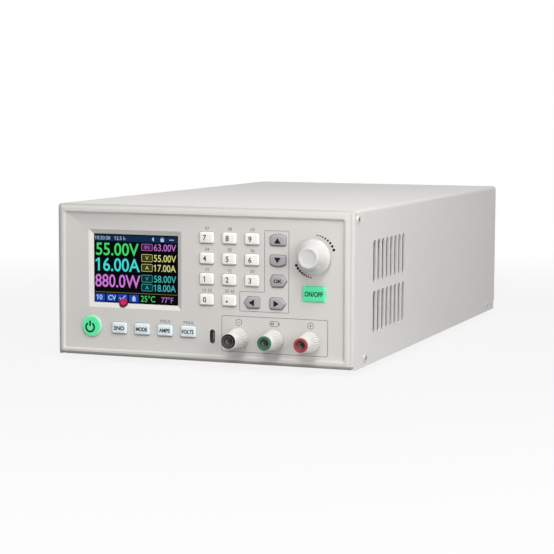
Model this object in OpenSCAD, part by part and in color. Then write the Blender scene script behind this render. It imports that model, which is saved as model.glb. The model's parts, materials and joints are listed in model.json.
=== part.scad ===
// Programmable bench power supply, in millimetres.
// X runs to the right, Y to the back and Z up. The origin lies under the middle of the whole unit.
// Every module draws in case coordinates: x from the left wall, y from the front rim, z from the
// chassis floor. on_case() carries them to the origin.

/* [Case] */
// Width over the two side walls
case_w = 169; // [168:1:210]
// Height from the chassis floor to the top of the cover
case_h = 82; // [81:1:110]
// Depth from the front rim to the back edge of the cover
case_d = 302; // [290:1:360]
// Thickness of the steel sheet
sheet = 1; // [0.8:0.1:1.4]
// Outer radius of the cover's bends
bend_r = 2; // [1.6:0.1:3]
// Gap between a sheet part and the sheet beside it
sheet_gap = 0.2; // [0.1:0.05:0.3]
// Height of the chassis flanges inside the cover
flange_h = 11; // [9:0.5:14]
// How far the front edge of the chassis floor lies behind the cover's
floor_inset = 2; // [0:0.5:6]
// How far the rear panel lies inside the cover's back edge
rear_inset = 1.5; // [1:0.5:4]
// Size of the notch in the cover's lower back corners
notch_h = 5.3; // [3:0.1:8]

/* [Feet] */
// Height of a rubber foot
foot_h = 3; // [2:0.5:8]
// Radius of a rubber foot
foot_r = 6; // [4:0.5:9]
// Distance of a foot from the wall and from the ends of the case
foot_inset = 32; // [16:1:50]

/* [Vents] */
// Slots in one row
vent_count = 8; // [4:1:12]
// Distance from slot to slot
vent_pitch = 7.53; // [6:0.01:8.5]
// Width of a slot
vent_w = 4.5; // [3:0.1:5]
// Height of a slot
vent_h = 22.6; // [14:0.2:24]
// Height of the lower row above the chassis floor
vent_z = 15.6; // [13:0.1:18]
// Gap between the two rows
vent_row_gap = 4.2; // [3:0.1:6]
// Distance of the first slot behind the front rim
vent_y = 32; // [25:0.5:60]

/* [Front panel] */
// Gap between the panel and the sheet around it
panel_gap = 0.3; // [0.2:0.05:0.5]
// How far the rim stands in front of the sheet's edge
rim_proud = 1.8; // [1.6:0.1:2.4]
// How far the rim's edge lies inside the case's outer faces
rim_lap = 0.5; // [0.3:0.1:0.7]
// Width of the sloping outer edge of the rim
rim_slope = 2.8; // [2:0.1:3.2]
// Depth of the sloping outer edge
rim_fall = 1.1; // [0.6:0.1:1.2]
// Width of the flat of the rim
rim_flat = 0.3; // [0.2:0.1:0.8]
// Width of the slope from the rim down to the face
rim_inner = 1.6; // [1:0.1:2]
// Depth of the slope from the rim down to the face
inner_fall = 0.7; // [0.3:0.1:0.7]
// Corner radius of the skirt
skirt_r = 3; // [2.6:0.1:4]
// How far the face lies behind the rim
face_recess = 1.5; // [0.8:0.1:1.9]
// Thickness of the face
face_t = 2.5; // [2.3:0.1:3]
// How far the panel's skirt reaches behind the rim
skirt_d = 14; // [13:0.5:18]
// Thickness of the skirt
skirt_t = 2; // [1.5:0.1:2.5]
// Radius of the bosses that carry the display board
boss_r = 3; // [2.5:0.1:4]
// Distance of the bosses from the skirt's inner walls
boss_inset = 5; // [4.5:0.5:7]

/* [Screen] */
// Width of the window in the face
window_w = 49.5; // [46:0.1:51]
// Height of the window in the face
window_h = 37.1; // [34:0.1:39]
// Window centre, as a share of the case's width
window_x_share = 0.26864; // [0.26:0.00001:0.273]
// Window centre, as a share of the case's height
window_z_share = 0.57927; // [0.56:0.00001:0.598]
// Width of the bevel round the window
bevel_w = 2.5; // [1.5:0.1:2.8]
// Depth of the bevel
bevel_d = 1.4; // [0.8:0.1:1.4]
// Margin of the screen glass round the window
glass_margin = 3; // [2:0.1:3.4]
// Thickness of the screen glass
glass_t = 1.2; // [0.8:0.1:1.4]
// Thickness of the frame behind the glass
lamp_t = 2.4; // [1.5:0.1:3]
// Radius of the film's pull tab
tab_r = 2.6; // [2:0.1:3]
// Thickness of the film's pull tab
tab_t = 0.3; // [0.2:0.1:0.5]
// Pull tab centre, as a share of the case's width
tab_x_share = 0.22663; // [0.177:0.00001:0.356]

/* [Keys] */
// How far the keys stand in front of the face
key_proud = 1.2; // [0.9:0.1:2]
// Travel of a key
key_travel = 0.8; // [0.4:0.1:0.9]
// Gap round a key in its hole
key_gap = 0.2; // [0.1:0.05:0.3]
// Corner radius of the keys
key_r = 1.1; // [1:0.1:1.4]
// Size of the soft edge round a key's front
key_soft = 0.5; // [0.3:0.1:0.7]
// Width of a numeric key
pad_w = 8.1; // [7:0.1:9]
// Height of a numeric key
pad_h = 6.2; // [5:0.1:7]
// First keypad column, as a share of the case's width
pad_x_share = 0.51627; // [0.511:0.00001:0.521]
// Lowest keypad row, as a share of the case's height
pad_z_share = 0.40549; // [0.396:0.00001:0.415]
// Distance from column to column, as a share of the case's width
pad_pitch_x_share = 0.07544; // [0.068:0.00001:0.077]
// Distance from row to row, as a share of the case's height
pad_pitch_z_share = 0.13232; // [0.109:0.00001:0.135]
// Column of the arrow keys, as a share of the case's width
arrow_x_share = 0.75237; // [0.745:0.00001:0.758]
// Width of the arrow keys
arrow_w = 8.9; // [8:0.1:9]
// Height of the arrow keys
arrow_h = 6.1; // [5.5:0.1:6.5]
// Width of the enter key between its points
enter_w = 9.4; // [8.5:0.1:9.6]
// Height of the enter key
enter_h = 6.5; // [5.5:0.1:6.8]
// Width of a function key
function_w = 8.9; // [8:0.1:9.5]
// Height of a function key
function_h = 6.3; // [5.5:0.1:7]
// First function key, as a share of the case's width
function_x_share = 0.21538; // [0.21:0.00001:0.219]
// Distance from function key to function key, as a share of the case's width
function_pitch_share = 0.07929; // [0.071:0.00001:0.082]
// Function keys, as a share of the case's height
function_z_share = 0.19146; // [0.17:0.00001:0.208]
// Width of the output key
output_w = 12.6; // [11:0.1:13]
// Height of the output key
output_h = 8; // [7:0.1:9]
// Output key, as a share of the case's height
output_z_share = 0.47073; // [0.451:0.00001:0.476]
// Radius of the power button
power_r = 5.9; // [5:0.1:6.5]
// Power button, as a share of the case's width
power_x_share = 0.11893; // [0.106:0.00001:0.131]
// Power button, as a share of the case's height
power_z_share = 0.19756; // [0.182:0.00001:0.214]

/* [Knob and encoder] */
// Radius of the knob's foot
knob_r = 9.2; // [8:0.1:9.5]
// Radius of the knob's nose
knob_nose_r = 5.5; // [5:0.1:6.5]
// How far the knob stands in front of the rim
knob_proud = 9.1; // [8.6:0.1:12]
// Knob centre, as a share of the case's width
knob_x_share = 0.87041; // [0.866:0.00001:0.876]
// Knob centre, as a share of the case's height
knob_z_share = 0.7061; // [0.695:0.00001:0.72]
// Press travel of the knob
knob_travel = 0.5; // [0.3:0.1:0.6]
// Radius of the encoder shaft
shaft_r = 3; // [2.5:0.1:3.2]
// Depth of the flat along the shaft
shaft_flat = 1.5; // [1:0.1:1.6]
// Radial clearance of a turning part
run_gap = 0.05; // [0.03:0.01:0.08]
// Side of the encoder body
encoder_w = 12; // [11.5:0.1:13]
// Thickness of the encoder body
encoder_t = 6.5; // [6:0.1:6.9]
// Wall of the encoder's bushing
bushing_t = 0.6; // [0.4:0.1:1]

/* [Binding posts] */
// First post, as a share of the case's width
post_x_share = 0.62367; // [0.615:0.00001:0.628]
// Distance from post to post, as a share of the case's width
post_pitch_share = 0.11746; // [0.106:0.00001:0.119]
// Posts, as a share of the case's height
post_z_share = 0.16829; // [0.158:0.00001:0.183]
// How far a post stands in front of the rim
post_proud = 13.7; // [12:0.1:16]
// Radius of the 4 mm socket
socket_r = 2; // [1.9:0.05:2.1]
// Depth of the socket
socket_d = 20; // [17:0.5:21]
// Radius of the metal stud
stud_r = 2.95; // [2.8:0.05:3]
// Length of the stud behind the face
stud_tail = 10; // [9:0.5:12]
// Radius of the clamping shoulder
shoulder_r = 4.5; // [4.2:0.1:4.6]
// Thickness of the clamping shoulder
shoulder_t = 1.2; // [0.8:0.1:1.4]
// Radius of the coloured collar's nose
collar_r = 3.75; // [3.7:0.05:3.9]
// Length of the coloured nose
collar_nose = 1.2; // [0.8:0.1:2]
// Length of the collar's sleeve inside the cap
collar_sleeve = 8.5; // [6:0.5:9]
// Wall of the collar's sleeve
collar_wall = 0.45; // [0.4:0.05:0.5]
// Radius of the cap at its foot
cap_foot_r = 5.6; // [5.4:0.1:6]
// Radius of the cap at its nose
cap_nose_r = 4; // [3.9:0.05:4.3]
// Flutes round a cap
flutes = 26; // [16:1:30]
// Radius of a flute
flute_r = 0.45; // [0.35:0.05:0.5]
// Depth of a flute
flute_d = 0.3; // [0.2:0.05:0.35]
// Length of the flutes from the cap's foot
flute_l = 9.8; // [5:0.2:11]
// Width of the nut behind the panel, across its flats
nut_w = 8; // [7:0.1:9]
// Thickness of the nut
nut_t = 2.4; // [2:0.1:3]

/* [USB port] */
// Port centre, as a share of the case's width
usb_x_share = 0.53521; // [0.526:0.00001:0.539]
// Port centre, as a share of the case's height
usb_z_share = 0.16951; // [0.146:0.00001:0.183]
// Width of the slot in the face
usb_slot_w = 3; // [2.8:0.1:3.4]
// Height of the slot in the face
usb_slot_h = 7.4; // [7.2:0.1:8]
// Wall of the port's metal shell
usb_wall = 0.3; // [0.2:0.05:0.4]

/* [Inside] */
// Distance from the face's back to the display board
board_gap = 7.5; // [7.3:0.1:8]
// Thickness of the circuit boards
board_t = 1.6; // [1.2:0.1:2]
// Height of a key switch
switch_h = 3.5; // [3:0.1:3.8]
// Side of a key switch
switch_w = 6; // [5:0.1:6]
// Length of the spacers between the two boards
spacer_l = 9; // [6:0.5:12]
// Width of the heat sink
sink_w = 140; // [120:1:145]
// Height of the heat sink
sink_h = 54; // [46:1:55]
// Length of the heat sink's fins
fin_l = 20; // [14:1:30]
// Thickness of a fin
fin_t = 1.8; // [1.2:0.1:2.4]
// Number of fins
fin_count = 9; // [6:1:11]
// Width of the ac-dc supply
supply_w = 115; // [95:1:120]
// Height of the ac-dc supply
supply_h = 50; // [38:1:55]
// Length of the ac-dc supply
supply_l = 172; // [150:1:178]
// Radius of the dc leads
lead_r = 1.9; // [1.5:0.1:2.2]

/* [Rear panel] */
// Side of the fan
fan_w = 60; // [50:1:62]
// Thickness of the fan
fan_t = 20; // [15:1:20]
// Fan centre, as a share of the case's width
fan_x_share = 0.27219; // [0.26:0.00001:0.285]
// Distance between the fan's screw holes
fan_hole_span = 50; // [40:1:52]
// Number of blades
fan_blades = 7; // [5:1:9]
// Gap between the blade tips and the frame
tip_gap = 0.8; // [0.5:0.1:1.5]
// Radius of the guard's wire
wire_r = 0.8; // [0.6:0.1:1]
// Mains inlet centre, as a share of the case's width
inlet_x_share = 0.7574; // [0.745:0.00001:0.77]
// Width of the inlet's body
inlet_w = 27.4; // [27:0.1:28]
// Height of the inlet's body
inlet_h = 31; // [30:0.1:33]
// Depth of the inlet's body behind the panel
inlet_d = 22; // [19:0.5:24]
// Thickness of the inlet's flange
inlet_flange = 2.5; // [2.4:0.1:3]
// Distance between the inlet's screws
inlet_hole_span = 40; // [39:0.5:42]
// Width of the plug opening
plug_w = 24.4; // [24:0.1:24.6]
// Height of the plug opening
plug_h = 16.4; // [16:0.1:16.6]
// Depth of the plug opening
plug_d = 16.5; // [16:0.1:17]
// Slide of the fuse drawer
drawer_travel = 14; // [8:0.5:15]
// Rocker switch centre, as a share of the case's width
rocker_x_share = 0.53846; // [0.52:0.00001:0.551]
// Width of the rocker's bezel
rocker_w = 15; // [14:0.5:16]
// Height of the rocker's bezel
rocker_h = 21; // [20:0.5:24]
// Swing of the rocker to each side
rocker_swing = 8; // [5:0.5:9]

/* [Screws] */
// Radius of a screw head
head_r = 2.4; // [2:0.1:3]
// Height of a screw head
head_t = 0.9; // [0.6:0.1:1.5]
// Radius of the six-sided socket in a screw head, over its corners
drive_r = 1.3; // [1:0.1:1.35]
// Depth of the socket
drive_d = 0.7; // [0.4:0.1:0.7]
// Radius of a screw shank
shank_r = 1.4; // [1.2:0.1:1.6]
// Clearance of a screw in its hole
screw_gap = 0.1; // [0.05:0.05:0.2]
// Top front screw behind the rim
screw_front_y = 5.9; // [5.5:0.1:8]
// Lower front screw behind the rim
screw_low_y = 18.7; // [16:0.1:30]
// Lower screws above the chassis floor
screw_low_z = 4.4; // [4:0.1:6]

/* [Hidden] */
$fn = 48;
cut = 1;

// Centres and steps on the front and the back
screen_cx = case_w * window_x_share;
screen_cz = case_h * window_z_share;
tab_cx = case_w * tab_x_share;
pad_cx = case_w * pad_x_share;
pad_cz = case_h * pad_z_share;
column_step = case_w * pad_pitch_x_share;
row_step = case_h * pad_pitch_z_share;
arrow_cx = case_w * arrow_x_share;
function_cx = case_w * function_x_share;
function_step = case_w * function_pitch_share;
function_cz = case_h * function_z_share;
output_cz = case_h * output_z_share;
power_cx = case_w * power_x_share;
power_cz = case_h * power_z_share;
knob_cx = case_w * knob_x_share;
knob_cz = case_h * knob_z_share;
post_cx = case_w * post_x_share;
post_step = case_w * post_pitch_share;
post_cz = case_h * post_z_share;
usb_cx = case_w * usb_x_share;
usb_cz = case_h * usb_z_share;
fan_cx = case_w * fan_x_share;
inlet_cx = case_w * inlet_x_share;
rocker_cx = case_w * rocker_x_share;

case_grey = "gainsboro";
key_white = "whitesmoke";
lit_green = "mediumaquamarine";

// Front panel, from the sheet around it
panel_edge = sheet + panel_gap;
face_back = face_recess + face_t;
skirt_in = panel_edge + skirt_t;
glass_y = face_recess + bevel_d + 0.2;
glass_w = window_w + 2 * glass_margin;
glass_h = window_h + 2 * glass_margin;
pocket_gap = 0.3;

// Display board and what stands on it
board_y = face_back + board_gap;
board_edge = skirt_in + 0.6;
key_front = face_recess - key_proud;
key_stop = 0.1;
lip = 0.8;
lip_t = 1;
stem_r = 1.5;
stem_end = board_y - switch_h - key_travel - 0.1;
encoder_y = board_y - encoder_t;
bushing_front = -1;
rotor_wall = 1;
rotor_gap = 0.3;
rotor_room = encoder_t - 2.6;
knob_foot_y = 0.4;
knob_lift = -bushing_front + knob_travel + 0.6;

// Binding posts, as heights in front of the rim plane
nose_gap = 0.1;
stud_front = post_proud - collar_nose - nose_gap;
shoulder_front = shoulder_t - face_recess;
cap_foot = -face_recess + 0.3;
cap_step = shoulder_front + 0.2;
sleeve_out_r = stud_r + run_gap + collar_wall;
sleeve_foot = stud_front - collar_sleeve;

// Converter behind the display board
converter_y = board_y + board_t + spacer_l;
sink_y = converter_y + board_t;
sink_base = 4;

// Case back to front
shell_y = rim_proud;
lap_back = shell_y - panel_gap;
rim_r = bend_r - rim_lap;
rear_y = case_d - rear_inset;
rear_in = rear_y - sheet;
fan_head_t = 2.2;
fan_head_r = 3.2;
fan_shank_r = 1.9;
fan_screw_l = 10;
inlet_screw_l = 6;
drawer_front = inlet_flange + 1.3;
rear_proud = max(2 * wire_r + fan_head_t, drawer_front) - rear_inset;
front_y = -(case_d + rear_proud - post_proud) / 2;
rear_z = case_h / 2;
inlet_tail = 6;
supply_y = rear_y - inlet_d - inlet_tail - 6 - supply_l;
screw_top_z = case_h - 4.8;
screw_back_y = rear_in - 17;

// Keys: name, kind of outline, x, z, length towards its point or width, the other side, way it points
pad_names = [
    ["key_0", 0, 0], ["key_dot", 1, 0],
    ["key_1", 0, 1], ["key_2", 1, 1], ["key_3", 2, 1],
    ["key_4", 0, 2], ["key_5", 1, 2], ["key_6", 2, 2],
    ["key_7", 0, 3], ["key_8", 1, 3], ["key_9", 2, 3]
];
function column(i) = pad_cx + i * column_step;
function row(j) = pad_cz + j * row_step;
pad_keys = [for (k = pad_names) [k[0], "box", column(k[1]), row(k[2]), pad_w, pad_h, 0]];
arrow_keys = [
    ["key_up", "arch", arrow_cx, row(3), arrow_h, arrow_w, 90],
    ["key_down", "arch", arrow_cx, row(2), arrow_h, arrow_w, -90],
    ["key_enter", "point", arrow_cx + 0.3, row(1) + 0.4, enter_w, enter_h, 0],
    ["key_left", "peak", column(2), row(0) - 0.5, arrow_w, arrow_h, 180],
    ["key_right", "peak", arrow_cx, row(0) - 0.5, arrow_w, arrow_h, 0]
];
function_names = ["key_shift", "key_menu", "key_current", "key_voltage"];
function_keys = [for (i = [0:3])
    [function_names[i], "box", function_cx + i * function_step, function_cz, function_w, function_h, 0]];
output_key = ["key_output", "box", knob_cx, output_cz, output_w, output_h, 0];
shaped_keys = concat(pad_keys, arrow_keys, function_keys, [output_key]);

post_names = ["black", "green", "red"];
post_colours = ["#202020", "#2f8f5b", "#b3282d"];
post_parts = ["stud", "collar", "cap"];

// Frames and shared shapes

module on_case() {
    translate([-case_w / 2, front_y, foot_h]) children();
}

// A flat shape in x and z, extruded from y0 back to y1
module slab(y0, y1) {
    translate([0, y1, 0]) rotate([90, 0, 0]) linear_extrude(y1 - y0) children();
}

// A flat shape in y and z, extruded from x0 to x1
module across(x0, x1) {
    translate([x0, 0, 0]) rotate([90, 0, 90]) linear_extrude(x1 - x0) children();
}

// A solid on an axis that points out of the front; its z is the height in front of the rim plane
module forward(x, z) {
    translate([x, 0, z]) rotate([90, 0, 0]) children();
}

// A round bar or hole along y
module bar(x, z, y0, y1, r) {
    translate([x, y1, z]) rotate([90, 0, 0]) cylinder(r = r, h = y1 - y0);
}

function arc(cx, cy, r, from, to, n = 6) =
    [for (i = [0:n]) let (a = from + (to - from) * i / n) [cx + r * cos(a), cy + r * sin(a)]];

// Corners of a rounded rectangle round the origin
function round_rect(w, h, r) = concat(
    arc(w / 2 - r, h / 2 - r, r, 0, 90),
    arc(r - w / 2, h / 2 - r, r, 90, 180),
    arc(r - w / 2, r - h / 2, r, 180, 270),
    arc(w / 2 - r, r - h / 2, r, 270, 360)
);

// Outline of an upright slot with round ends
function slot(w, h) = concat(
    arc(0, (h - w) / 2, w / 2, 0, 180, 10),
    arc(0, (w - h) / 2, w / 2, 180, 360, 10)
);

// The far side of a key that points along +x: a shallow arch, or a peak when pointed
function key_nose(w, h, rise, pointed) =
    let (r = (h * h / 4 + rise * rise) / (2 * rise), a = asin(h / 2 / r))
    pointed ? [[w / 2 - rise, -h / 2], [w / 2, 0], [w / 2 - rise, h / 2]] : arc(w / 2 - r, 0, r, -a, a, 8);

// Outline of a key, grown outwards by grow
module key_outline(kind, w, h, way, grow) {
    gw = w + 2 * grow;
    gh = h + 2 * grow;
    r = key_r + grow;
    if (kind == "box") polygon(round_rect(gw, gh, r));
    if (kind == "arch" || kind == "peak") rotate(way) polygon(concat(
        key_nose(gw, gh, kind == "peak" ? 2.3 : 1.5, kind == "peak"),
        arc(r - gw / 2, gh / 2 - r, r, 90, 180), arc(r - gw / 2, r - gh / 2, r, 180, 270)
    ));
    if (kind == "point") polygon([
        [gw / 2, 0], [w * 0.27 + grow / 2, gh / 2], [-w * 0.36 - grow / 2, gh / 2],
        [-gw / 2, 0], [-w * 0.36 - grow / 2, -gh / 2], [w * 0.27 + grow / 2, -gh / 2]
    ]);
}

// The same outline at its place on the face
module placed_outline(k, grow) {
    translate([k[2], k[3]]) key_outline(k[1], k[4], k[5], k[6], grow);
}

// Front panel

module case_outline(inset, r) {
    translate([case_w / 2, case_h / 2]) polygon(round_rect(case_w - 2 * inset, case_h - 2 * inset, r));
}

// The rim laps over the front edge of the sheet; its crest has a long slope outside and a short one inside
module rim_block() hull() {
    slab(0, 0.02) case_outline(rim_lap + rim_slope, 0.6);
    slab(rim_fall, lap_back) case_outline(rim_lap, rim_r);
}

module rim_opening() {
    crest = rim_lap + rim_slope + rim_flat;
    slab(-cut, 0.01) case_outline(crest, 0.8);
    hull() {
        slab(0, 0.01) case_outline(crest, 0.8);
        slab(inner_fall, inner_fall + 0.01) case_outline(crest + rim_inner, 0.8);
    }
    slab(inner_fall, face_recess) case_outline(crest + rim_inner, 0.8);
}

module panel_outline(inset) {
    case_outline(panel_edge + inset, skirt_r - min(inset, skirt_r - 0.5));
}

// The bevel is a wedge seen from above crossed with a wedge seen from the side
module window_bevel() {
    front = face_recess - 0.01;
    back = face_recess + bevel_d;
    half_w = window_w / 2;
    half_h = window_h / 2;
    translate([screen_cx, 0, screen_cz]) intersection() {
        translate([0, 0, -case_h / 2]) linear_extrude(case_h) polygon([
            [-half_w - bevel_w, front], [half_w + bevel_w, front], [half_w, back], [-half_w, back]]);
        across(-case_w / 2, case_w / 2) polygon([
            [front, -half_h - bevel_w], [front, half_h + bevel_w], [back, half_h], [back, -half_h]]);
    }
}

module face_holes() {
    translate([screen_cx, screen_cz]) square([window_w, window_h], center = true);
    for (k = shaped_keys) placed_outline(k, key_gap);
    translate([power_cx, power_cz]) circle(power_r + key_gap);
    translate([knob_cx, knob_cz]) circle(shaft_r + run_gap + bushing_t + 0.3);
    for (i = [0:2]) translate([post_cx + i * post_step, post_cz]) circle(stud_r + screw_gap);
    translate([usb_cx, usb_cz]) polygon(slot(usb_slot_w, usb_slot_h));
}

boss_x = [skirt_in + boss_inset, case_w - skirt_in - boss_inset];
boss_z = [skirt_in + boss_inset, case_h - skirt_in - boss_inset];

module front_panel() color(case_grey) {
    difference() {
        union() {
            difference() {
                union() {
                    rim_block();
                    slab(rim_fall, glass_y) panel_outline(0);
                }
                rim_opening();
                slab(face_recess - cut, glass_y + cut) face_holes();
            }
            difference() {
                slab(lap_back, skirt_d) panel_outline(0);
                slab(lap_back - cut, skirt_d + cut) panel_outline(skirt_t);
            }
            slab(glass_y, face_back) difference() {
                panel_outline(skirt_t / 2);
                face_holes();
                translate([screen_cx, screen_cz])
                    square([glass_w + 2 * pocket_gap, glass_h + 2 * pocket_gap], center = true);
            }
            for (x = boss_x, z = boss_z) bar(x, z, face_back - 0.5, board_y, boss_r);
        }
        window_bevel();
        for (x = boss_x, z = boss_z) bar(x, z, face_back + 1, board_y + cut, 1.1);
        across(-cut, case_w + cut) translate([screw_front_y, screw_top_z]) circle(shank_r + screw_gap / 2);
    }
}

// Screen

module screen_glass() color("midnightblue") {
    translate([screen_cx, 0, screen_cz])
        slab(glass_y, glass_y + glass_t) square([glass_w, glass_h], center = true);
}

module screen_frame() color("silver") {
    clip = 1.2;
    back = glass_y + glass_t;
    translate([screen_cx, 0, screen_cz]) difference() {
        slab(back, back + lamp_t) square([glass_w, glass_h], center = true);
        slab(back + lamp_t - 0.6, back + lamp_t + cut)
            square([glass_w - 2 * clip, glass_h - 2 * clip], center = true);
    }
}

// Pull tab: a thin disc, its upper half on the glass and its lower half bent forward over the bevel
module film_tab() color("crimson") {
    edge_z = screen_cz - window_h / 2;
    tilt = atan(bevel_d / bevel_w);
    difference() {
        bar(tab_cx, edge_z, glass_y - tab_t, glass_y, tab_r);
        translate([tab_cx - tab_r - cut, glass_y - cut, edge_z - tab_r - cut])
            cube([2 * tab_r + 2 * cut, 2 * cut, tab_r + cut + 0.1]);
    }
    translate([tab_cx, glass_y - 0.22, edge_z]) rotate([-tilt, 0, 0]) difference() {
        bar(0, 0, -tab_t, 0, tab_r);
        translate([-tab_r - cut, -cut, 0.1]) cube([2 * tab_r + 2 * cut, 2 * cut, tab_r + cut]);
    }
}

// Keys: a cap with a soft front edge, a lip behind the face and a stem over the switch

module key(k, tint) color(tint) {
    lip_y = face_back + key_stop;
    hull() {
        slab(key_front, key_front + 0.02) placed_outline(k, -key_soft * 1.8);
        slab(key_front + key_soft * 0.4, key_front + key_soft * 0.4 + 0.02)
            placed_outline(k, -key_soft * 0.6);
        slab(key_front + key_soft, key_front + key_soft + 0.02) placed_outline(k, 0);
    }
    slab(key_front + key_soft, lip_y) placed_outline(k, 0);
    slab(lip_y, lip_y + lip_t) placed_outline(k, key_gap + lip);
    bar(k[2], k[3], lip_y + lip_t, stem_end, stem_r);
}

module power_button() color(lit_green) {
    lip_y = face_back + key_stop;
    forward(power_cx, power_cz) rotate_extrude() polygon(concat(
        [[0, -stem_end], [stem_r, -stem_end], [stem_r, -lip_y - lip_t]],
        [[power_r + key_gap + lip, -lip_y - lip_t], [power_r + key_gap + lip, -lip_y], [power_r, -lip_y]],
        arc(power_r - key_soft, -key_front - key_soft, key_soft, 0, 90, 4),
        [[0, -key_front]]
    ));
}

// Knob and encoder

// Half profile: foot rim, hollow flank, nose with a rounded edge and a shallow dish
module knob() color("ivory") {
    foot = -knob_foot_y;
    flank = knob_r - knob_nose_r;
    forward(knob_cx, knob_cz) difference() {
        rotate_extrude($fn = 72) polygon(concat(
            [[0, foot], [knob_r - 0.3, foot], [knob_r, foot + 0.3], [knob_r, foot + 0.9]],
            [for (i = [1:8]) let (t = i / 8)
                [knob_r - flank * t * 0.93, foot + 0.9 + (knob_proud - 1.6 - foot - 0.9) * pow(t, 1.7)]],
            arc(knob_nose_r - 0.8, knob_proud - 0.8, 0.8, 0, 90, 4),
            [[knob_nose_r - 1.4, knob_proud], [knob_nose_r - 1.8, knob_proud - 0.25], [0, knob_proud - 0.4]]
        ));
        translate([0, 0, foot - cut])
            cylinder(r = shaft_r + run_gap + bushing_t + 0.5, h = knob_lift + cut - foot);
        translate([0, 0, foot]) shaft_shape(knob_proud - 1.5 - foot, run_gap / 2);
    }
}

// A round bar with a flat along one side, standing on z = 0
module shaft_shape(length, grow) {
    difference() {
        cylinder(r = shaft_r + grow, h = length);
        translate([-shaft_r - cut, shaft_r - shaft_flat + grow, -cut])
            cube([2 * shaft_r + 2 * cut, 2 * shaft_r, length + 2 * cut]);
    }
}

shaft_back = -(encoder_y + rotor_wall + rotor_room - rotor_gap);

module encoder_shaft() color("silver") {
    forward(knob_cx, knob_cz) translate([0, 0, shaft_back])
        shaft_shape(knob_proud - 1.6 - shaft_back, 0);
}

module encoder_rotor() color("dimgray") {
    back = -(encoder_y + rotor_wall + rotor_room - rotor_gap);
    thick = rotor_room - 2 * rotor_gap;
    forward(knob_cx, knob_cz) translate([0, 0, back]) difference() {
        cylinder(r = encoder_w / 2 - 1, h = thick);
        translate([0, 0, -cut]) shaft_shape(thick + 2 * cut, run_gap);
        for (i = [0:14]) rotate(i * 24) translate([encoder_w / 2 - 1, 0, -cut])
            cylinder(r = 0.4, h = thick + 2 * cut);
    }
}

module encoder_body() color("darkgray") {
    bore = shaft_r + run_gap;
    forward(knob_cx, knob_cz) difference() {
        union() {
            translate([0, 0, -board_y]) linear_extrude(encoder_t)
                polygon(round_rect(encoder_w, encoder_w, 0.8));
            translate([0, 0, -encoder_y - 0.5])
                cylinder(r = bore + bushing_t, h = encoder_y + 0.5 - bushing_front);
        }
        translate([0, 0, -encoder_y - rotor_wall - cut])
            cylinder(r = bore, h = encoder_y + rotor_wall + 2 * cut + 2);
        translate([0, 0, -encoder_y - rotor_wall - rotor_room])
            cylinder(r = encoder_w / 2 - 1 + 0.2, h = rotor_room);
        translate([0, 0, shaft_back - knob_travel - 0.4]) cylinder(r = shaft_r + 0.3, h = 3);
    }
}

// Binding posts

module at_post(i) {
    forward(post_cx + i * post_step, post_cz) children();
}

module post_stud(i) color("silver") at_post(i) difference() {
    union() {
        translate([0, 0, -face_back - stud_tail])
            cylinder(r = stud_r, h = face_back + stud_tail + stud_front);
        translate([0, 0, -face_recess]) cylinder(r = shoulder_r, h = shoulder_t);
    }
    translate([0, 0, stud_front - socket_d]) cylinder(r = socket_r, h = socket_d + cut);
}

module post_collar(i) color(post_colours[i]) at_post(i) {
    bore = stud_r + run_gap;
    nose = stud_front + nose_gap;
    hole = socket_r + 0.3;
    soft = collar_nose / 3;
    rotate_extrude() polygon([
        [bore, sleeve_foot], [sleeve_out_r, sleeve_foot], [sleeve_out_r, nose], [collar_r, nose],
        [collar_r, post_proud - soft], [collar_r - soft, post_proud], [hole + soft, post_proud],
        [hole, post_proud - soft], [hole, nose], [bore, nose]
    ]);
}

// Cap: a cone with grooves laid along its slope, bored for the stud, the sleeve and the shoulder
module post_cap(i) color("ivory") at_post(i) {
    height = stud_front - cap_foot;
    slope = atan((cap_foot_r - cap_nose_r) / height);
    difference() {
        translate([0, 0, cap_foot]) cylinder(r1 = cap_foot_r, r2 = cap_nose_r, h = height);
        translate([0, 0, cap_foot - cut]) cylinder(r = stud_r + run_gap, h = height + 2 * cut);
        translate([0, 0, sleeve_foot - 0.2]) cylinder(r = sleeve_out_r + run_gap, h = collar_sleeve + cut);
        translate([0, 0, cap_foot - cut]) cylinder(r = shoulder_r + 0.2, h = cap_step - cap_foot + cut);
        for (j = [0:flutes - 1]) rotate(j * 360 / flutes)
            translate([cap_foot_r + flute_r - flute_d, 0, cap_foot]) rotate([0, -slope, 0])
                translate([0, 0, -cut]) cylinder(r = flute_r, h = flute_l + cut, $fn = 20);
    }
}

module post_nuts() color("silver") {
    washer_t = 0.6;
    for (i = [0:2]) at_post(i) difference() {
        union() {
            translate([0, 0, -face_back - washer_t]) cylinder(r = nut_w * 0.6, h = washer_t);
            translate([0, 0, -face_back - washer_t - nut_t])
                cylinder(d = nut_w / cos(30), h = nut_t, $fn = 6);
        }
        translate([0, 0, -face_back - washer_t - nut_t - cut])
            cylinder(r = stud_r + run_gap, h = nut_t + washer_t + 2 * cut);
    }
}

// Port: a thin metal shell with a tongue, on a foot that reaches the display board
module usb_port() color("silver") {
    w = usb_slot_w;
    h = usb_slot_h + 0.4;
    depth = 5;
    front = face_back + 0.1;
    translate([usb_cx, 0, usb_cz]) {
        difference() {
            slab(front, board_y) polygon(round_rect(w, h, 0.7));
            slab(front - cut, front + depth) polygon(round_rect(w - 2 * usb_wall, h - 2 * usb_wall, 0.5));
        }
        slab(front + 0.8, front + depth + 0.2) square([0.7, h * 0.55], center = true);
    }
}

// Boards, converter and supply

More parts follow.
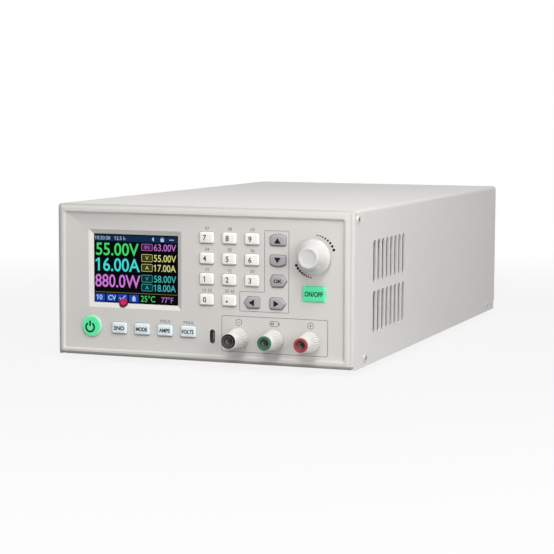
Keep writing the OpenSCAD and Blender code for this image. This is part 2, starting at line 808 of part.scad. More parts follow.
module display_board() color("seagreen") {
    switch_y = board_y - switch_h;
    difference() {
        slab(board_y, board_y + board_t) difference() {
            translate([board_edge, board_edge]) square([case_w - 2 * board_edge, case_h - 2 * board_edge]);
            for (i = [0:2]) translate([post_cx + i * post_step, post_cz]) circle(stud_r + 1.5);
        }
        for (x = boss_x, z = boss_z) bar(x, z, board_y - cut, board_y + board_t + cut, 1.6);
    }
    for (k = concat(shaped_keys, [["power_button", "box", power_cx, power_cz]]))
        translate([k[2] - switch_w / 2, switch_y, k[3] - switch_w / 2]) cube([switch_w, switch_h, switch_w]);
}

module converter_board() color("darkgreen") {
    margin = 5;
    low = skirt_in + margin;
    coil_r = 7;
    coil_wire = 3;
    coil_step = case_w * 0.142;
    tank_step = case_w * 0.071;
    tank_l = 8;
    slab(converter_y, converter_y + board_t)
        translate([low, low]) square([case_w - 2 * low, case_h - 2 * low]);
    for (x = [low + 4, case_w - low - 4], z = [low + 14, case_h - low - 4])
        bar(x, z, board_y + board_t, converter_y, 2.5);
    for (i = [0:1]) translate([case_w * 0.355 + i * coil_step, converter_y - coil_wire + 0.3, case_h / 2])
        rotate([90, 0, 0]) rotate_extrude() translate([coil_r, 0]) circle(coil_wire, $fn = 24);
    for (i = [0:3])
        bar(case_w * 0.615 + i * tank_step, case_h * 0.646, converter_y - tank_l, converter_y, tank_l / 2);
}

// A comb in y and z, drawn across the case
module heat_sink() color("lightgray") {
    low = (case_h - sink_h) / 2;
    pitch = (sink_h - fin_t) / (fin_count - 1);
    across((case_w - sink_w) / 2, (case_w + sink_w) / 2) {
        translate([sink_y, low]) square([sink_base, sink_h]);
        for (i = [0:fin_count - 1])
            translate([sink_y + sink_base - 0.5, low + i * pitch]) square([fin_l + 0.5, fin_t]);
    }
}

// Two leads below the heat sink, from the converter board back to the supply
module dc_leads() color("firebrick") {
    lead_z = (case_h - sink_h) / 2 - lead_r - 0.3;
    lead_gap = 18;
    for (x = [case_w - lead_gap, case_w + lead_gap] / 2) bar(x, lead_z, sink_y, supply_y, lead_r);
}

// A metal cage with two rows of slots in its lid, a terminal strip at its front end, and the
// transformer and capacitors that stand inside it
module ac_dc_supply() color("silver") {
    left = (case_w - supply_w) / 2;
    top = sheet + supply_h;
    wall = 1.2;
    strip_l = 10;
    strip_z = sheet + 18;
    step = 14;
    edge = 16;
    rows = floor((supply_l - 2 * edge) / step);
    screw_in = 14;
    core_w = 48;
    core_l = 44;
    tank_in = 20;
    tank_r = 9;
    difference() {
        translate([left, supply_y, sheet]) cube([supply_w, supply_l, supply_h]);
        translate([left + wall, supply_y + strip_l + wall, sheet + wall])
            cube([supply_w - 2 * wall, supply_l - strip_l - 2 * wall, supply_h - 2 * wall]);
        for (j = [0:rows - 1], s = [-1, 1])
            translate([case_w / 2 + s * supply_w / 4 - supply_w / 6, supply_y + edge + 6 + j * step,
                top - wall - cut])
                cube([supply_w / 3, 5, wall + 2 * cut]);
        translate([left + 8, supply_y - cut, strip_z]) cube([supply_w - 16, strip_l + cut, supply_h]);
    }
    for (i = [0:6])
        translate([left + screw_in + i * (supply_w - 2 * screw_in) / 6, supply_y + strip_l / 2, strip_z - 1])
            cylinder(r = 3.2, h = 4);
    translate([(case_w - core_w) / 2, supply_y + supply_l * 0.4, sheet + wall - 0.2])
        cube([core_w, core_l, supply_h * 0.7]);
    for (i = [0:3]) translate([left + tank_in + i * (supply_w - 2 * tank_in) / 3, supply_y + supply_l * 0.8,
        sheet + wall - 0.2]) cylinder(r = tank_r, h = supply_h * 0.66);
}

// Case

module bottom_chassis() color(case_grey) {
    low = sheet + sheet_gap;
    in_r = bend_r - sheet;
    profile = concat(
        [[low, flange_h], [low, bend_r]], arc(low + bend_r, bend_r, bend_r, 180, 270),
        arc(case_w - low - bend_r, bend_r, bend_r, 270, 360),
        [[case_w - low, flange_h], [case_w - low - sheet, flange_h]],
        arc(case_w - low - bend_r, bend_r, in_r, 360, 270), arc(low + bend_r, bend_r, in_r, 270, 180),
        [[low + sheet, flange_h]]
    );
    difference() {
        slab(skirt_d + 0.3, rear_in) polygon(profile);
        across(-cut, case_w + cut) for (y = [screw_low_y, screw_back_y])
            translate([y, screw_low_z]) circle(shank_r + screw_gap / 2);
    }
    floor_y = shell_y + floor_inset;
    translate([low + bend_r, floor_y, 0]) cube([case_w - 2 * (low + bend_r), skirt_d + 0.5 - floor_y, sheet]);
}

module top_cover() color(case_grey) {
    in_r = bend_r - sheet;
    profile = concat(
        [[0, 0]], arc(bend_r, case_h - bend_r, bend_r, 180, 90, 8),
        arc(case_w - bend_r, case_h - bend_r, bend_r, 90, 0, 8), [[case_w, 0], [case_w - sheet, 0]],
        arc(case_w - bend_r, case_h - bend_r, in_r, 0, 90, 8),
        arc(bend_r, case_h - bend_r, in_r, 90, 180, 8), [[sheet, 0]]
    );
    difference() {
        slab(shell_y, case_d) polygon(profile);
        for (j = [0:1]) across(-cut, case_w + cut) for (i = [0:vent_count - 1])
            translate([vent_y + vent_w / 2 + i * vent_pitch, vent_z + vent_h / 2]
                + [0, j * (vent_h + vent_row_gap)]) polygon(slot(vent_w, vent_h));
        across(-cut, case_w + cut) {
            translate([screw_front_y, screw_top_z]) circle(shank_r + screw_gap);
            for (y = [screw_low_y, screw_back_y]) translate([y, screw_low_z]) circle(shank_r + screw_gap);
            translate([case_d - rear_inset, -cut]) square([rear_inset + cut, notch_h + cut]);
        }
    }
}

module rear_panel() color(case_grey) {
    edge = sheet + sheet_gap;
    slab(rear_in, rear_y) difference() {
        translate([edge, sheet_gap]) square([case_w - 2 * edge, case_h - edge - sheet_gap]);
        translate([fan_cx, rear_z]) {
            circle(fan_hole_r);
            for (x = [-1, 1], z = [-1, 1])
                translate([x, z] * fan_hole_span / 2) circle(fan_shank_r + screw_gap);
        }
        translate([inlet_cx, rear_z]) {
            square([inlet_w + 0.4, inlet_h + 0.4], center = true);
            for (x = [-1, 1]) translate([x * inlet_hole_span / 2, 0]) circle(shank_r + screw_gap);
        }
        translate([rocker_cx, rear_z]) square([rocker_w - 2, rocker_h - 2], center = true);
    }
}

module rubber_feet() color("#303030") {
    for (x = [foot_inset, case_w - foot_inset], y = [foot_inset, case_d - foot_inset])
        translate([x, y, -foot_h]) difference() {
            cylinder(r1 = foot_r * 0.88, r2 = foot_r, h = foot_h);
            translate([0, 0, -cut]) cylinder(r = foot_r * 0.4, h = foot_h / 2 + cut);
        }
}

// A screw along x: its head lies on the wall at x = 0 and its shank runs towards +x
module side_screw(length) difference() {
    union() {
        rotate([0, 90, 0]) cylinder(r = shank_r, h = length);
        translate([-head_t, 0, 0]) rotate([0, 90, 0]) cylinder(r1 = head_r * 0.7, r2 = head_r, h = head_t);
    }
    translate([-head_t - cut, 0, 0]) rotate([0, 90, 0]) cylinder(r = drive_r, h = cut + drive_d, $fn = 6);
}

module cover_screws() color("silver") {
    spots = [
        [screw_front_y, screw_top_z, panel_edge + skirt_t - 0.4],
        [screw_low_y, screw_low_z, 2 * sheet + sheet_gap + 2],
        [screw_back_y, screw_low_z, 2 * sheet + sheet_gap + 2]
    ];
    for (s = spots) {
        translate([0, s[0], s[1]]) side_screw(s[2]);
        translate([case_w, s[0], s[1]]) mirror([1, 0, 0]) side_screw(s[2]);
    }
}

// Rear: fan, guard, inlet and rocker switch

fan_hole_r = fan_w / 2 - 1.5;
hub_r = fan_w * 0.21;
axle_r = 1.5;
fan_y = rear_in - fan_t;

module fan_frame() color("#2a2a2a") {
    tube_l = fan_t * 0.45;
    plate_t = 3;
    translate([fan_cx, 0, rear_z]) difference() {
        union() {
            slab(fan_y, rear_in) difference() {
                polygon(round_rect(fan_w, fan_w, 4));
                circle(fan_hole_r);
            }
            bar(0, 0, fan_y, fan_y + plate_t, hub_r);
            bar(0, 0, fan_y, fan_y + plate_t + tube_l, axle_r + 2);
            for (a = [45:90:315]) rotate([0, a, 0])
                translate([hub_r - 1, fan_y, -1.5]) cube([fan_hole_r - hub_r + 2, plate_t, 3]);
        }
        bar(0, 0, fan_y + 1, rear_in, axle_r + run_gap);
        for (x = [-1, 1], z = [-1, 1])
            bar(x * fan_hole_span / 2, z * fan_hole_span / 2, fan_y - cut, rear_in + cut,
                fan_shank_r + screw_gap);
        for (s = [0:3]) rotate([0, 90 * s, 0]) translate([fan_w / 2 - 1.6, fan_y + 5, -fan_w / 4])
            cube([cut + 1.6, fan_t - 10, fan_w / 2]);
    }
}

// Rotor: a cup over the hub, an axle in the bearing tube, and twisted blades round the cup
module fan_rotor() color("#3a3a3a") {
    front = fan_y + 4;
    back = rear_in - 1.2;
    depth = back - front;
    blade_r = fan_hole_r - tip_gap;
    translate([fan_cx, back, rear_z]) rotate([90, 0, 0]) {
        difference() {
            cylinder(r = hub_r, h = depth);
            translate([0, 0, 1.6]) cylinder(r = hub_r - 1.4, h = depth);
        }
        cylinder(r = axle_r, h = back - fan_y - 1.5);
        for (i = [0:fan_blades - 1]) rotate(i * 360 / fan_blades)
            translate([0, 0, 0.8]) linear_extrude(depth - 1.2, twist = 42, slices = 6, $fn = 8)
                polygon([[hub_r - 0.8, -0.6], [hub_r + 4, -0.75], [blade_r - 2, -0.5], [blade_r, -0.3],
                    [blade_r, 0.3], [blade_r - 2, 0.55], [hub_r + 4, 0.8], [hub_r - 0.8, 0.6]]);
    }
}

// Guard: rings of wire welded on four spokes that end in eyes under the fan's screws
module fan_guard() color("silver") {
    corner = fan_hole_span / sqrt(2);
    ring_count = 4;
    ring_step = (fan_hole_r - 1 - 6) / (ring_count - 1);
    translate([fan_cx, rear_y, rear_z]) rotate([-90, 0, 0]) {
        for (i = [0:ring_count - 1]) translate([0, 0, 2.75 * wire_r]) rotate_extrude()
            translate([6 + i * ring_step, 0]) circle(wire_r, $fn = 20);
        for (a = [45:90:315]) rotate(a) {
            translate([5, 0, wire_r]) rotate([0, 90, 0])
                cylinder(r = wire_r * 0.95, h = corner - 5 - 2.6, $fn = 20);
            translate([corner, 0, 0]) difference() {
                cylinder(r = fan_shank_r + 1.2, h = 2 * wire_r);
                translate([0, 0, -cut]) cylinder(r = fan_shank_r + screw_gap, h = 2 * wire_r + 2 * cut);
            }
        }
    }
}

// A screw along y: its head stands out of the back by head, from the seat at y = seat
module rear_screw(x, z, seat, shank, head, head_height, length) difference() {
    union() {
        bar(x, z, seat - length, seat, shank);
        bar(x, z, seat, seat + head_height, head);
    }
    bar(x, z, seat + head_height - drive_d, seat + head_height + cut, drive_r, $fn = 6);
}

module rear_screws() color("silver") {
    for (x = [-1, 1], z = [-1, 1])
        rear_screw(fan_cx + x * fan_hole_span / 2, rear_z + z * fan_hole_span / 2, rear_y + 2 * wire_r,
            fan_shank_r, fan_head_r, fan_head_t, fan_screw_l);
    for (x = [-1, 1])
        rear_screw(inlet_cx + x * inlet_hole_span / 2, rear_z, rear_y + inlet_flange, shank_r, head_r, head_t,
            inlet_screw_l);
}

plug_rise = 6;
plug_z = rear_z + plug_rise;
drawer_drop = 9.5;
drawer_z = rear_z - drawer_drop;
drawer_w = 20;
drawer_h = 7;
drawer_l = 17.5;
drawer_gap = 0.2;
fuse_l = 14;
plug_floor = rear_y + inlet_flange - plug_d;

// Mouth of the inlet: a rectangle whose two upper corners are cut off
module plug_mouth() {
    cut_off = 4.5;
    polygon([
        [-plug_w / 2, -plug_h / 2], [plug_w / 2, -plug_h / 2], [plug_w / 2, plug_h / 2 - cut_off],
        [plug_w / 2 - cut_off, plug_h / 2], [cut_off - plug_w / 2, plug_h / 2],
        [-plug_w / 2, plug_h / 2 - cut_off]
    ]);
}

blade_side = 7;
blade_drop = 2;
blade_spots = [[-blade_side, -blade_drop], [blade_side, -blade_drop], [0, blade_drop]];
blade_w = 2;
blade_h = 4;

module ac_inlet() color("#262626") {
    ear = inlet_hole_span / 2 + 4.5;
    half = inlet_w / 2 + 1;
    tall = inlet_h / 2 + 1.2;
    difference() {
        union() {
            translate([inlet_cx, 0, rear_z]) {
                slab(rear_y - inlet_d, rear_y) square([inlet_w, inlet_h], center = true);
                slab(rear_y, rear_y + inlet_flange) difference() {
                    polygon([[-ear, 4], [-half, tall], [half, tall], [ear, 4], [ear, -4],
                        [half, -tall], [-half, -tall], [-ear, -4]]);
                    for (x = [-1, 1]) translate([x * inlet_hole_span / 2, 0]) circle(shank_r + screw_gap);
                }
            }
        }
        slab(plug_floor, rear_y + inlet_flange + cut) translate([inlet_cx, plug_z]) plug_mouth();
        for (b = blade_spots) slab(rear_y - inlet_d - cut, plug_floor + cut)
            translate([inlet_cx + b[0], plug_z + b[1]]) square([blade_w + 0.1, blade_h + 0.1], center = true);
        translate([inlet_cx, 0, drawer_z]) slab(rear_y - drawer_l - 0.5, rear_y + inlet_flange + cut)
            square([drawer_w + 2 * drawer_gap, drawer_h + 2 * drawer_gap], center = true);
    }
}

module inlet_blades() color("silver") {
    tip = plug_floor + 0.7 * plug_d;
    tail = rear_y - inlet_d - inlet_tail;
    for (b = blade_spots) slab(tail, tip)
        translate([inlet_cx + b[0], plug_z + b[1]]) square([blade_w, blade_h], center = true);
}

// Drawer: a tray for one fuse, with a face plate and a finger notch
module fuse_drawer() color("#303030") {
    back = rear_y - drawer_l;
    front = rear_y + inlet_flange;
    translate([inlet_cx, 0, drawer_z]) difference() {
        union() {
            slab(back, front + 0.1) square([drawer_w, drawer_h], center = true);
            slab(front + 0.1, rear_y + drawer_front) polygon(round_rect(drawer_w + 2, drawer_h + 1, 1));
        }
        translate([-drawer_w / 2 + 2, back + 1.5, -drawer_h / 2 + 1.2])
            cube([drawer_w - 4, fuse_l, drawer_h]);
        bar(0, -drawer_h / 2 - 0.6, front + 0.5, rear_y + drawer_front + cut, 2);
    }
}

rocker_pivot_y = rear_y - rocker_w * 0.2;
rocker_bezel = 1.8;
rocker_wall = 2.2;
rocker_d = 17;
rocker_tail = 7;
terminal_step = 6;

module rocker_housing() color("#202020") {
    in_w = rocker_w - 2 * rocker_wall;
    in_h = rocker_h - 2 * rocker_wall;
    difference() {
        translate([rocker_cx, 0, rear_z]) union() {
            slab(rear_y, rear_y + rocker_bezel) polygon(round_rect(rocker_w, rocker_h, 1.2));
            slab(rear_y - rocker_d, rear_y) square([rocker_w - 2.4, rocker_h - 2.4], center = true);
            for (i = [-1:1]) slab(rear_y - rocker_d - rocker_tail, rear_y - rocker_d)
                translate([0, i * terminal_step]) square([4.8, 0.8], center = true);
        }
        translate([rocker_cx, 0, rear_z]) slab(rear_y - rocker_d + 3, rear_y + rocker_bezel + cut)
            square([in_w, in_h], center = true);
        translate([rocker_cx - in_w / 2 - 0.8, rocker_pivot_y, rear_z]) rotate([0, 90, 0])
            cylinder(r = 1 + run_gap, h = in_w + 1.6);
    }
}

// Rocker in its on position: tilted, on a pin that turns in the housing's side walls
module power_rocker() color("#181818") {
    w = rocker_w - 5;
    h = rocker_h - 6.2;
    pin = rocker_w - 2 * rocker_wall + 1.2;
    translate([rocker_cx, rocker_pivot_y, rear_z]) rotate([rocker_swing, 0, 0]) {
        across(-w / 2, w / 2) polygon([
            [-3, -3], [1.5, -h / 2], [5.6, -h / 2], [4.3, 0], [5.6, h / 2], [1.5, h / 2], [-3, 3]]);
        translate([-pin / 2, 0, 0]) rotate([0, 90, 0]) cylinder(r = 1, h = pin);
    }
}

// The nodes

on_case() front_panel();
on_case() screen_glass();
on_case() screen_frame();
on_case() film_tab();
on_case() power_button();
for (k = pad_keys) on_case() key(k, key_white);
for (k = arrow_keys) on_case() key(k, "lightsteelblue");
for (k = function_keys) on_case() key(k, "aliceblue");
on_case() key(output_key, lit_green);  // key_output
on_case() knob();
on_case() encoder_shaft();
on_case() encoder_rotor();
on_case() encoder_body();
for (i = [0:2]) on_case() post_stud(i);
for (i = [0:2]) on_case() post_collar(i);
for (i = [0:2]) on_case() post_cap(i);
on_case() post_nuts();
on_case() usb_port();
on_case() display_board();
on_case() converter_board();
on_case() heat_sink();
on_case() dc_leads();
on_case() ac_dc_supply();
on_case() bottom_chassis();
on_case() top_cover();
on_case() rear_panel();
on_case() rubber_feet();
on_case() cover_screws();
on_case() rear_screws();
on_case() ac_inlet();
on_case() inlet_blades();
on_case() fuse_drawer();
on_case() rocker_housing();
on_case() power_rocker();
on_case() fan_frame();
on_case() fan_rotor();
on_case() fan_guard();
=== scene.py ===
# %% [markdown]
# # Dressing a bench power supply
#
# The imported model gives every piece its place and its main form. This lesson adds what a drawing for the
# workshop leaves out: moulded key tops, a turned knob, fluted post caps, screw recesses, the printed marks,
# the lit screen and a finish on every surface. All lengths are worked out in millimetres on the case and
# turned into metres at the last moment.

# %% Load the model
import json
import math

import bmesh
import bpy
import numpy as np
from mathutils import Matrix, Vector

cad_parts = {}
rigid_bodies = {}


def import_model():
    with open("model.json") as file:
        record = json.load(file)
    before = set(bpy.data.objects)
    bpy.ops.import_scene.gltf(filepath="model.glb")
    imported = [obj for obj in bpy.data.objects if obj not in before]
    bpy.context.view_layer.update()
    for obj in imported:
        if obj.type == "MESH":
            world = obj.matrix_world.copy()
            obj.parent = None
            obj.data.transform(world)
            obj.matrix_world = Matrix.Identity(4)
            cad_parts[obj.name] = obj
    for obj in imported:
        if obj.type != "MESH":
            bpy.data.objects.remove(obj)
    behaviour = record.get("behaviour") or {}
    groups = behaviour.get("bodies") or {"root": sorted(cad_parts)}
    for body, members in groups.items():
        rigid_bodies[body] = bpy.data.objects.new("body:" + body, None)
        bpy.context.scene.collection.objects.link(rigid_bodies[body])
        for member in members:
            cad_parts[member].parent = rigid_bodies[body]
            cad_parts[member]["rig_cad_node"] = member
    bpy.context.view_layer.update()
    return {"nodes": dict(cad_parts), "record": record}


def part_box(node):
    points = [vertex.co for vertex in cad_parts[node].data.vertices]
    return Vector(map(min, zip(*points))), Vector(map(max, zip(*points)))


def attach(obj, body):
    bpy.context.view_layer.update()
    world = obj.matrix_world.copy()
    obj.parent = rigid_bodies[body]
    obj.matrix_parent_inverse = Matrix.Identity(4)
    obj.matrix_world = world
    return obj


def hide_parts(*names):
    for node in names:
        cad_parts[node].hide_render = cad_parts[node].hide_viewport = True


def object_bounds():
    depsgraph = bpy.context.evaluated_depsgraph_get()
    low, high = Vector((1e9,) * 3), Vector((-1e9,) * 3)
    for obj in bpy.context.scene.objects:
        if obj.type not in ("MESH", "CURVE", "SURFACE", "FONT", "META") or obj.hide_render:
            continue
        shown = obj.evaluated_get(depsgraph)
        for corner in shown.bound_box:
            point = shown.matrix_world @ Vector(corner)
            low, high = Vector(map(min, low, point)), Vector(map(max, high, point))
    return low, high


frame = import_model()
nodes = frame["nodes"]

# %% [markdown]
# The drawing counts x from the left wall, y from the front of the rim going back and z from the floor of the
# chassis. Two nodes tell where that corner lies in the model: the cover starts at the left wall and at the
# chassis floor, and the front panel starts at the rim. Everything below is placed through `place`, so a piece
# lands where the model has it. Moving each object by hand would work too, but then a pattern on its surface
# would slide with it.

# %% Millimetres on the case to metres in the model
MM = 0.001
CASE_W, CASE_H = 169.0, 82.0
ORIGIN = np.array([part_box("top_cover")[0].x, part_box("front_panel")[0].y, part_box("top_cover")[0].z])


def place(points):
    """Case millimetres to model metres: the points times a thousandth, plus the corner of the case."""
    return np.asarray(points, float) * MM + ORIGIN


def spot(node):
    """Centre of a node's box, back in case millimetres."""
    low, high = (np.array(p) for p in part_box(node))
    return ((low + high) / 2 - ORIGIN) / MM


print("case corner", ORIGIN.round(4))

# %% [markdown]
# ## Surfaces from numbers
#
# Nearly all pieces here are grids: one index runs round the piece and the other along it. Making each one as a
# single array keeps the formula in sight, and the same few lines turn any such grid into a mesh. Where a row
# of the grid shrinks to a point, the quads there become triangles round one vertex, so that no pole stays
# open.


# %% A grid of points becomes a mesh
def weave(rows, columns, closed):
    """Quads of a grid: corner (i, j) joins (i, j+1), (i+1, j+1) and (i+1, j), and j wraps round if closed."""
    i, j = np.meshgrid(np.arange(rows - 1), np.arange(columns if closed else columns - 1), indexing="ij")
    k = (j + 1) % columns
    quads = np.stack([i * columns + j, i * columns + k, (i + 1) * columns + k, (i + 1) * columns + j], -1)
    return quads.reshape(-1, 4)


def grid_shell(grid, closed=True):
    """A (rows, columns, 3) array as a shell: its points in one list, and the quads between them."""
    rows, columns = grid.shape[:2]
    return grid.reshape(-1, 3), weave(rows, columns, closed)


print("a closed band of 3 rows and 8 columns has", len(weave(3, 8, True)), "quads")


# %% Shells become one piece
def piece(name, shells, smooth=40.0):
    """One object from (points, faces) pairs in case millimetres. Doubles are merged, which closes the poles and
    seams, faces are turned outwards, and edges sharper than the angle stay sharp."""
    points, faces, start = [], [], 0
    for shell_points, shell_faces in shells:
        points.append(np.asarray(shell_points, float).reshape(-1, 3))
        faces += [[start + int(v) for v in face] for face in shell_faces]
        start += len(points[-1])
    mesh = bpy.data.meshes.new(name)
    mesh.from_pydata(place(np.concatenate(points)).tolist(), [], faces)
    work = bmesh.new()
    work.from_mesh(mesh)
    bmesh.ops.remove_doubles(work, verts=work.verts, dist=2e-7)
    bmesh.ops.dissolve_degenerate(work, edges=work.edges, dist=2e-7)
    bmesh.ops.recalc_face_normals(work, faces=work.faces)
    work.to_mesh(mesh)
    work.free()
    mesh.shade_smooth()
    mesh.set_sharp_from_angle(angle=math.radians(smooth))
    thing = bpy.data.objects.new(name, mesh)
    bpy.context.scene.collection.objects.link(thing)
    return thing


print("points closer than 0.0002 mm are merged")

# %% [markdown]
# Flat outlines come next, because keys, printed frames and lettering all start from one. An outline is a list
# of points in x and z. A slab gives it a front and a back, which makes even printed ink a closed body a few
# hundredths of a millimetre thick. A picture on the face would be simpler, but it would blur from near.


# %% Outlines
def arc(cx, cz, r, start, end, n=9):
    """Points at the radius r round (cx, cz), at n angles spread from start to end."""
    a = np.radians(np.linspace(start, end, n))
    return np.stack([cx + r * np.cos(a), cz + r * np.sin(a)], -1)


def disc(cx, cz, r, n):
    """A full circle of n points round (cx, cz)."""
    return arc(cx, cz, r, 0, 360, n + 1)[:-1]


def rounded(w, h, r, n=9):
    """Rectangle w by h round the origin: four quarter arcs, one in each corner."""
    quarters = ((1, 1, 0), (-1, 1, 90), (-1, -1, 180), (1, -1, 270))
    return np.concatenate([arc(i * (w / 2 - r), j * (h / 2 - r), r, a, a + 90, n) for i, j, a in quarters])


print("rounded outline", len(rounded(8, 6, 1)), "points")


# %% Slabs and ribbons
def at_depth(outline, y):
    """An outline's points with a depth: one number for all of them, or one for each."""
    outline = np.asarray(outline, float)
    return np.column_stack([outline[:, 0], outline[:, 0] * 0 + y, outline[:, 1]])


def slab(outline, front, back):
    """A flat outline between two depths: its points at the front, the same at the back, and quads between."""
    n = len(outline)
    faces = [list(range(n)), list(range(2 * n - 1, n - 1, -1))] + weave(2, n, True).tolist()
    return np.concatenate([at_depth(outline, front), at_depth(outline, back)]), faces


def ribbon(outline, width, front, back, closed=True):
    """A line of ink along an outline: each point moves half the width to both sides of the path."""
    outline = np.asarray(outline, float)
    ahead, behind = np.roll(outline, -1, 0) - outline, outline - np.roll(outline, 1, 0)
    if not closed:
        ahead[-1], behind[0] = behind[-1], ahead[0]
    ahead /= np.linalg.norm(ahead, axis=1)[:, None]
    behind /= np.linalg.norm(behind, axis=1)[:, None]
    along = ahead + behind
    along /= np.linalg.norm(along, axis=1)[:, None]
    side = np.stack([-along[:, 1], along[:, 0]], -1)
    side *= (width / 2) / np.clip((along * ahead).sum(1), 0.4, 1)[:, None]
    edges = [(outline + side, front), (outline - side, front), (outline - side, back), (outline + side, back)]
    points, faces = grid_shell(np.stack([at_depth(e, y) for e, y in edges + edges[:1]]), closed)
    faces = faces.tolist()
    if not closed:
        n = len(outline)
        faces += [[0, n, 2 * n, 3 * n], [4 * n - 1, 3 * n - 1, 2 * n - 1, n - 1]]
    return points, faces


print("a slab of that outline has", len(slab(rounded(8, 6, 1), 0, 1)[1]), "faces")

# %% [markdown]
# ## Finishes
#
# Blender's shader nodes are written here as arithmetic. `Value` wraps one socket, and adding or multiplying
# it adds a Math node, so a formula reads as it would on paper. Every other node comes from `Tree.node`, which
# first sets the node's own settings and then fills in or links its sockets. A picture painted by hand could
# do the same, but it would need an unwrapped surface, and a formula stays sharp from near.


# %% Shader arithmetic
class Value:
    """A socket that carries numbers. 1 - value, value * 2 and value + other each add one Math node."""

    def __init__(self, owner, socket):
        self.owner, self.socket = owner, socket

    def math(self, operation, a, b):
        """One Math node: the operation on a and b, each a Value or a number."""
        return self.owner.node("ShaderNodeMath", {"operation": operation}, {0: a, 1: b})

    def __add__(self, other): return self.math("ADD", self, other)
    def __radd__(self, other): return self.math("ADD", other, self)
    def __sub__(self, other): return self.math("SUBTRACT", self, other)
    def __rsub__(self, other): return self.math("SUBTRACT", other, self)
    def __mul__(self, other): return self.math("MULTIPLY", self, other)
    def __rmul__(self, other): return self.math("MULTIPLY", other, self)
    def __pow__(self, other): return self.math("POWER", self, other)
    def __gt__(self, other): return self.math("GREATER_THAN", self, other)


class Tree:
    """A tree of shader nodes, of a material or of the world."""

    def __init__(self, tree):
        self.tree = tree

    def fill(self, socket, value):
        """Links a Value to a socket, or sets the socket to a number or to some numbers."""
        if isinstance(value, Value):
            self.tree.links.new(value.socket, socket)
        else:
            socket.default_value = value

    def node(self, kind, settings, inputs, out=0):
        """Adds a node, applies its settings, then fills its inputs, and hands back one of its outputs."""
        made = self.tree.nodes.new(kind)
        for key, value in settings.items():
            setattr(made, key, value)
        for key, value in inputs.items():
            self.fill(made.inputs[key], value)
        return Value(self, made.outputs[out])

    def between(self, value, start, end, straight=False, low=0.0, high=1.0):
        """low while the value is at start, high once it is at end, and a smooth or a straight step between."""
        return self.node("ShaderNodeMapRange", {"interpolation_type": "LINEAR" if straight else "SMOOTHSTEP"},
                         {"Value": value, "From Min": start, "From Max": end, "To Min": low, "To Max": high})


print("shader arithmetic ready")


# %% One material
def rgba(colour):
    """A colour of three numbers with a fourth, for full cover; a Value stays as it is."""
    return (*colour, 1) if isinstance(colour, tuple) else colour


class Finish(Tree):
    """One material. Its plain numbers sit on the shader's own sockets, and what varies is linked in."""

    def __init__(self, name, **sockets):
        self.material = bpy.data.materials.new(name)
        self.material.use_nodes = True
        super().__init__(self.material.node_tree)
        self.shader = self.tree.nodes["Principled BSDF"]
        self.set(**sockets)
        self.at = self.node("ShaderNodeTexCoord", {}, {}, "Object")

    def set(self, **sockets):
        """Sets or links sockets of the shader; Base_Color stands for Base Color."""
        for key, value in sockets.items():
            self.fill(self.shader.inputs[key.replace("_", " ")], rgba(value))
        return self

    def noise(self, size, detail=2.0, at=None):
        """Smooth noise between 0 and 1 with lumps about size millimetres across."""
        scale = 1 / (size * MM)
        return self.node("ShaderNodeTexNoise", {},
                         {"Vector": at or self.at, "Scale": scale, "Detail": detail, "Roughness": 0.55})

    def mix(self, factor, low, high):
        """Colour that goes from low to high with the factor."""
        return self.node("ShaderNodeMix", {"data_type": "RGBA"}, {0: factor, 6: rgba(low), 7: rgba(high)}, 2)

    def bump(self, height, depth):
        """Relief: the height, from 0 to 1, stands for depth millimetres."""
        relief = {"Height": height, "Strength": 1.0, "Distance": depth * MM}
        return self.node("ShaderNodeBump", {}, relief, "Normal")

    def away(self, point, keep=None):
        """Metres from a point of the case: the length of the way there, without the axes where keep is 0."""
        way = self.node("ShaderNodeVectorMath", {"operation": "SUBTRACT"}, {0: self.at, 1: tuple(place(point))})
        if keep is not None:
            way = self.node("ShaderNodeVectorMath", {"operation": "MULTIPLY"}, {0: way, 1: keep})
        return self.node("ShaderNodeVectorMath", {"operation": "LENGTH"}, {0: way}, "Value")


def shade(colour, factor):
    """A colour made lighter or darker by the factor, kept below 1."""
    return tuple(min(1.0, c * factor) for c in colour)


print("half of a pale grey is", shade((0.8, 0.8, 0.8), 0.5))

# %% [markdown]
# The case is sheet steel with a fine powder coat, which looks like faint orange peel from near. The front
# panel and the keys are moulded: the tool's spark-eroded surface leaves a much finer grain. Both are the same
# recipe with other sizes: large soft patches move the tone and the gloss a little, and small noise lifts the
# surface by a few hundredths of a millimetre.


# %% Painted and moulded surfaces
def grained(name, colour, rough, grain, depth, patch=14.0, spread=0.02, coat=0.0, tints=()):
    """Tone: soft patches between colour less spread and colour plus spread. Gloss: rough plus a part of the
    same patches and of the grain. Relief: grain-sized noise. A tint is a pair: a function of the finish that
    tells where, from 0 to 1, the tone becomes the colour times the second value."""
    f = Finish(name, Coat_Weight=coat)
    patches = f.noise(patch, 3.0)
    fine = f.noise(grain, 2.0)
    tone = f.mix(patches * 0.7 + fine * 0.3, shade(colour, 1 - spread), shade(colour, 1 + spread))
    for where, factor in tints:
        tone = f.mix(where(f), tone, shade(colour, factor))
    f.set(Base_Color=tone)
    f.set(Roughness=rough + (patches - 0.5) * 0.10 + (fine - 0.5) * 0.08)
    return f.set(Normal=f.bump(fine, depth))


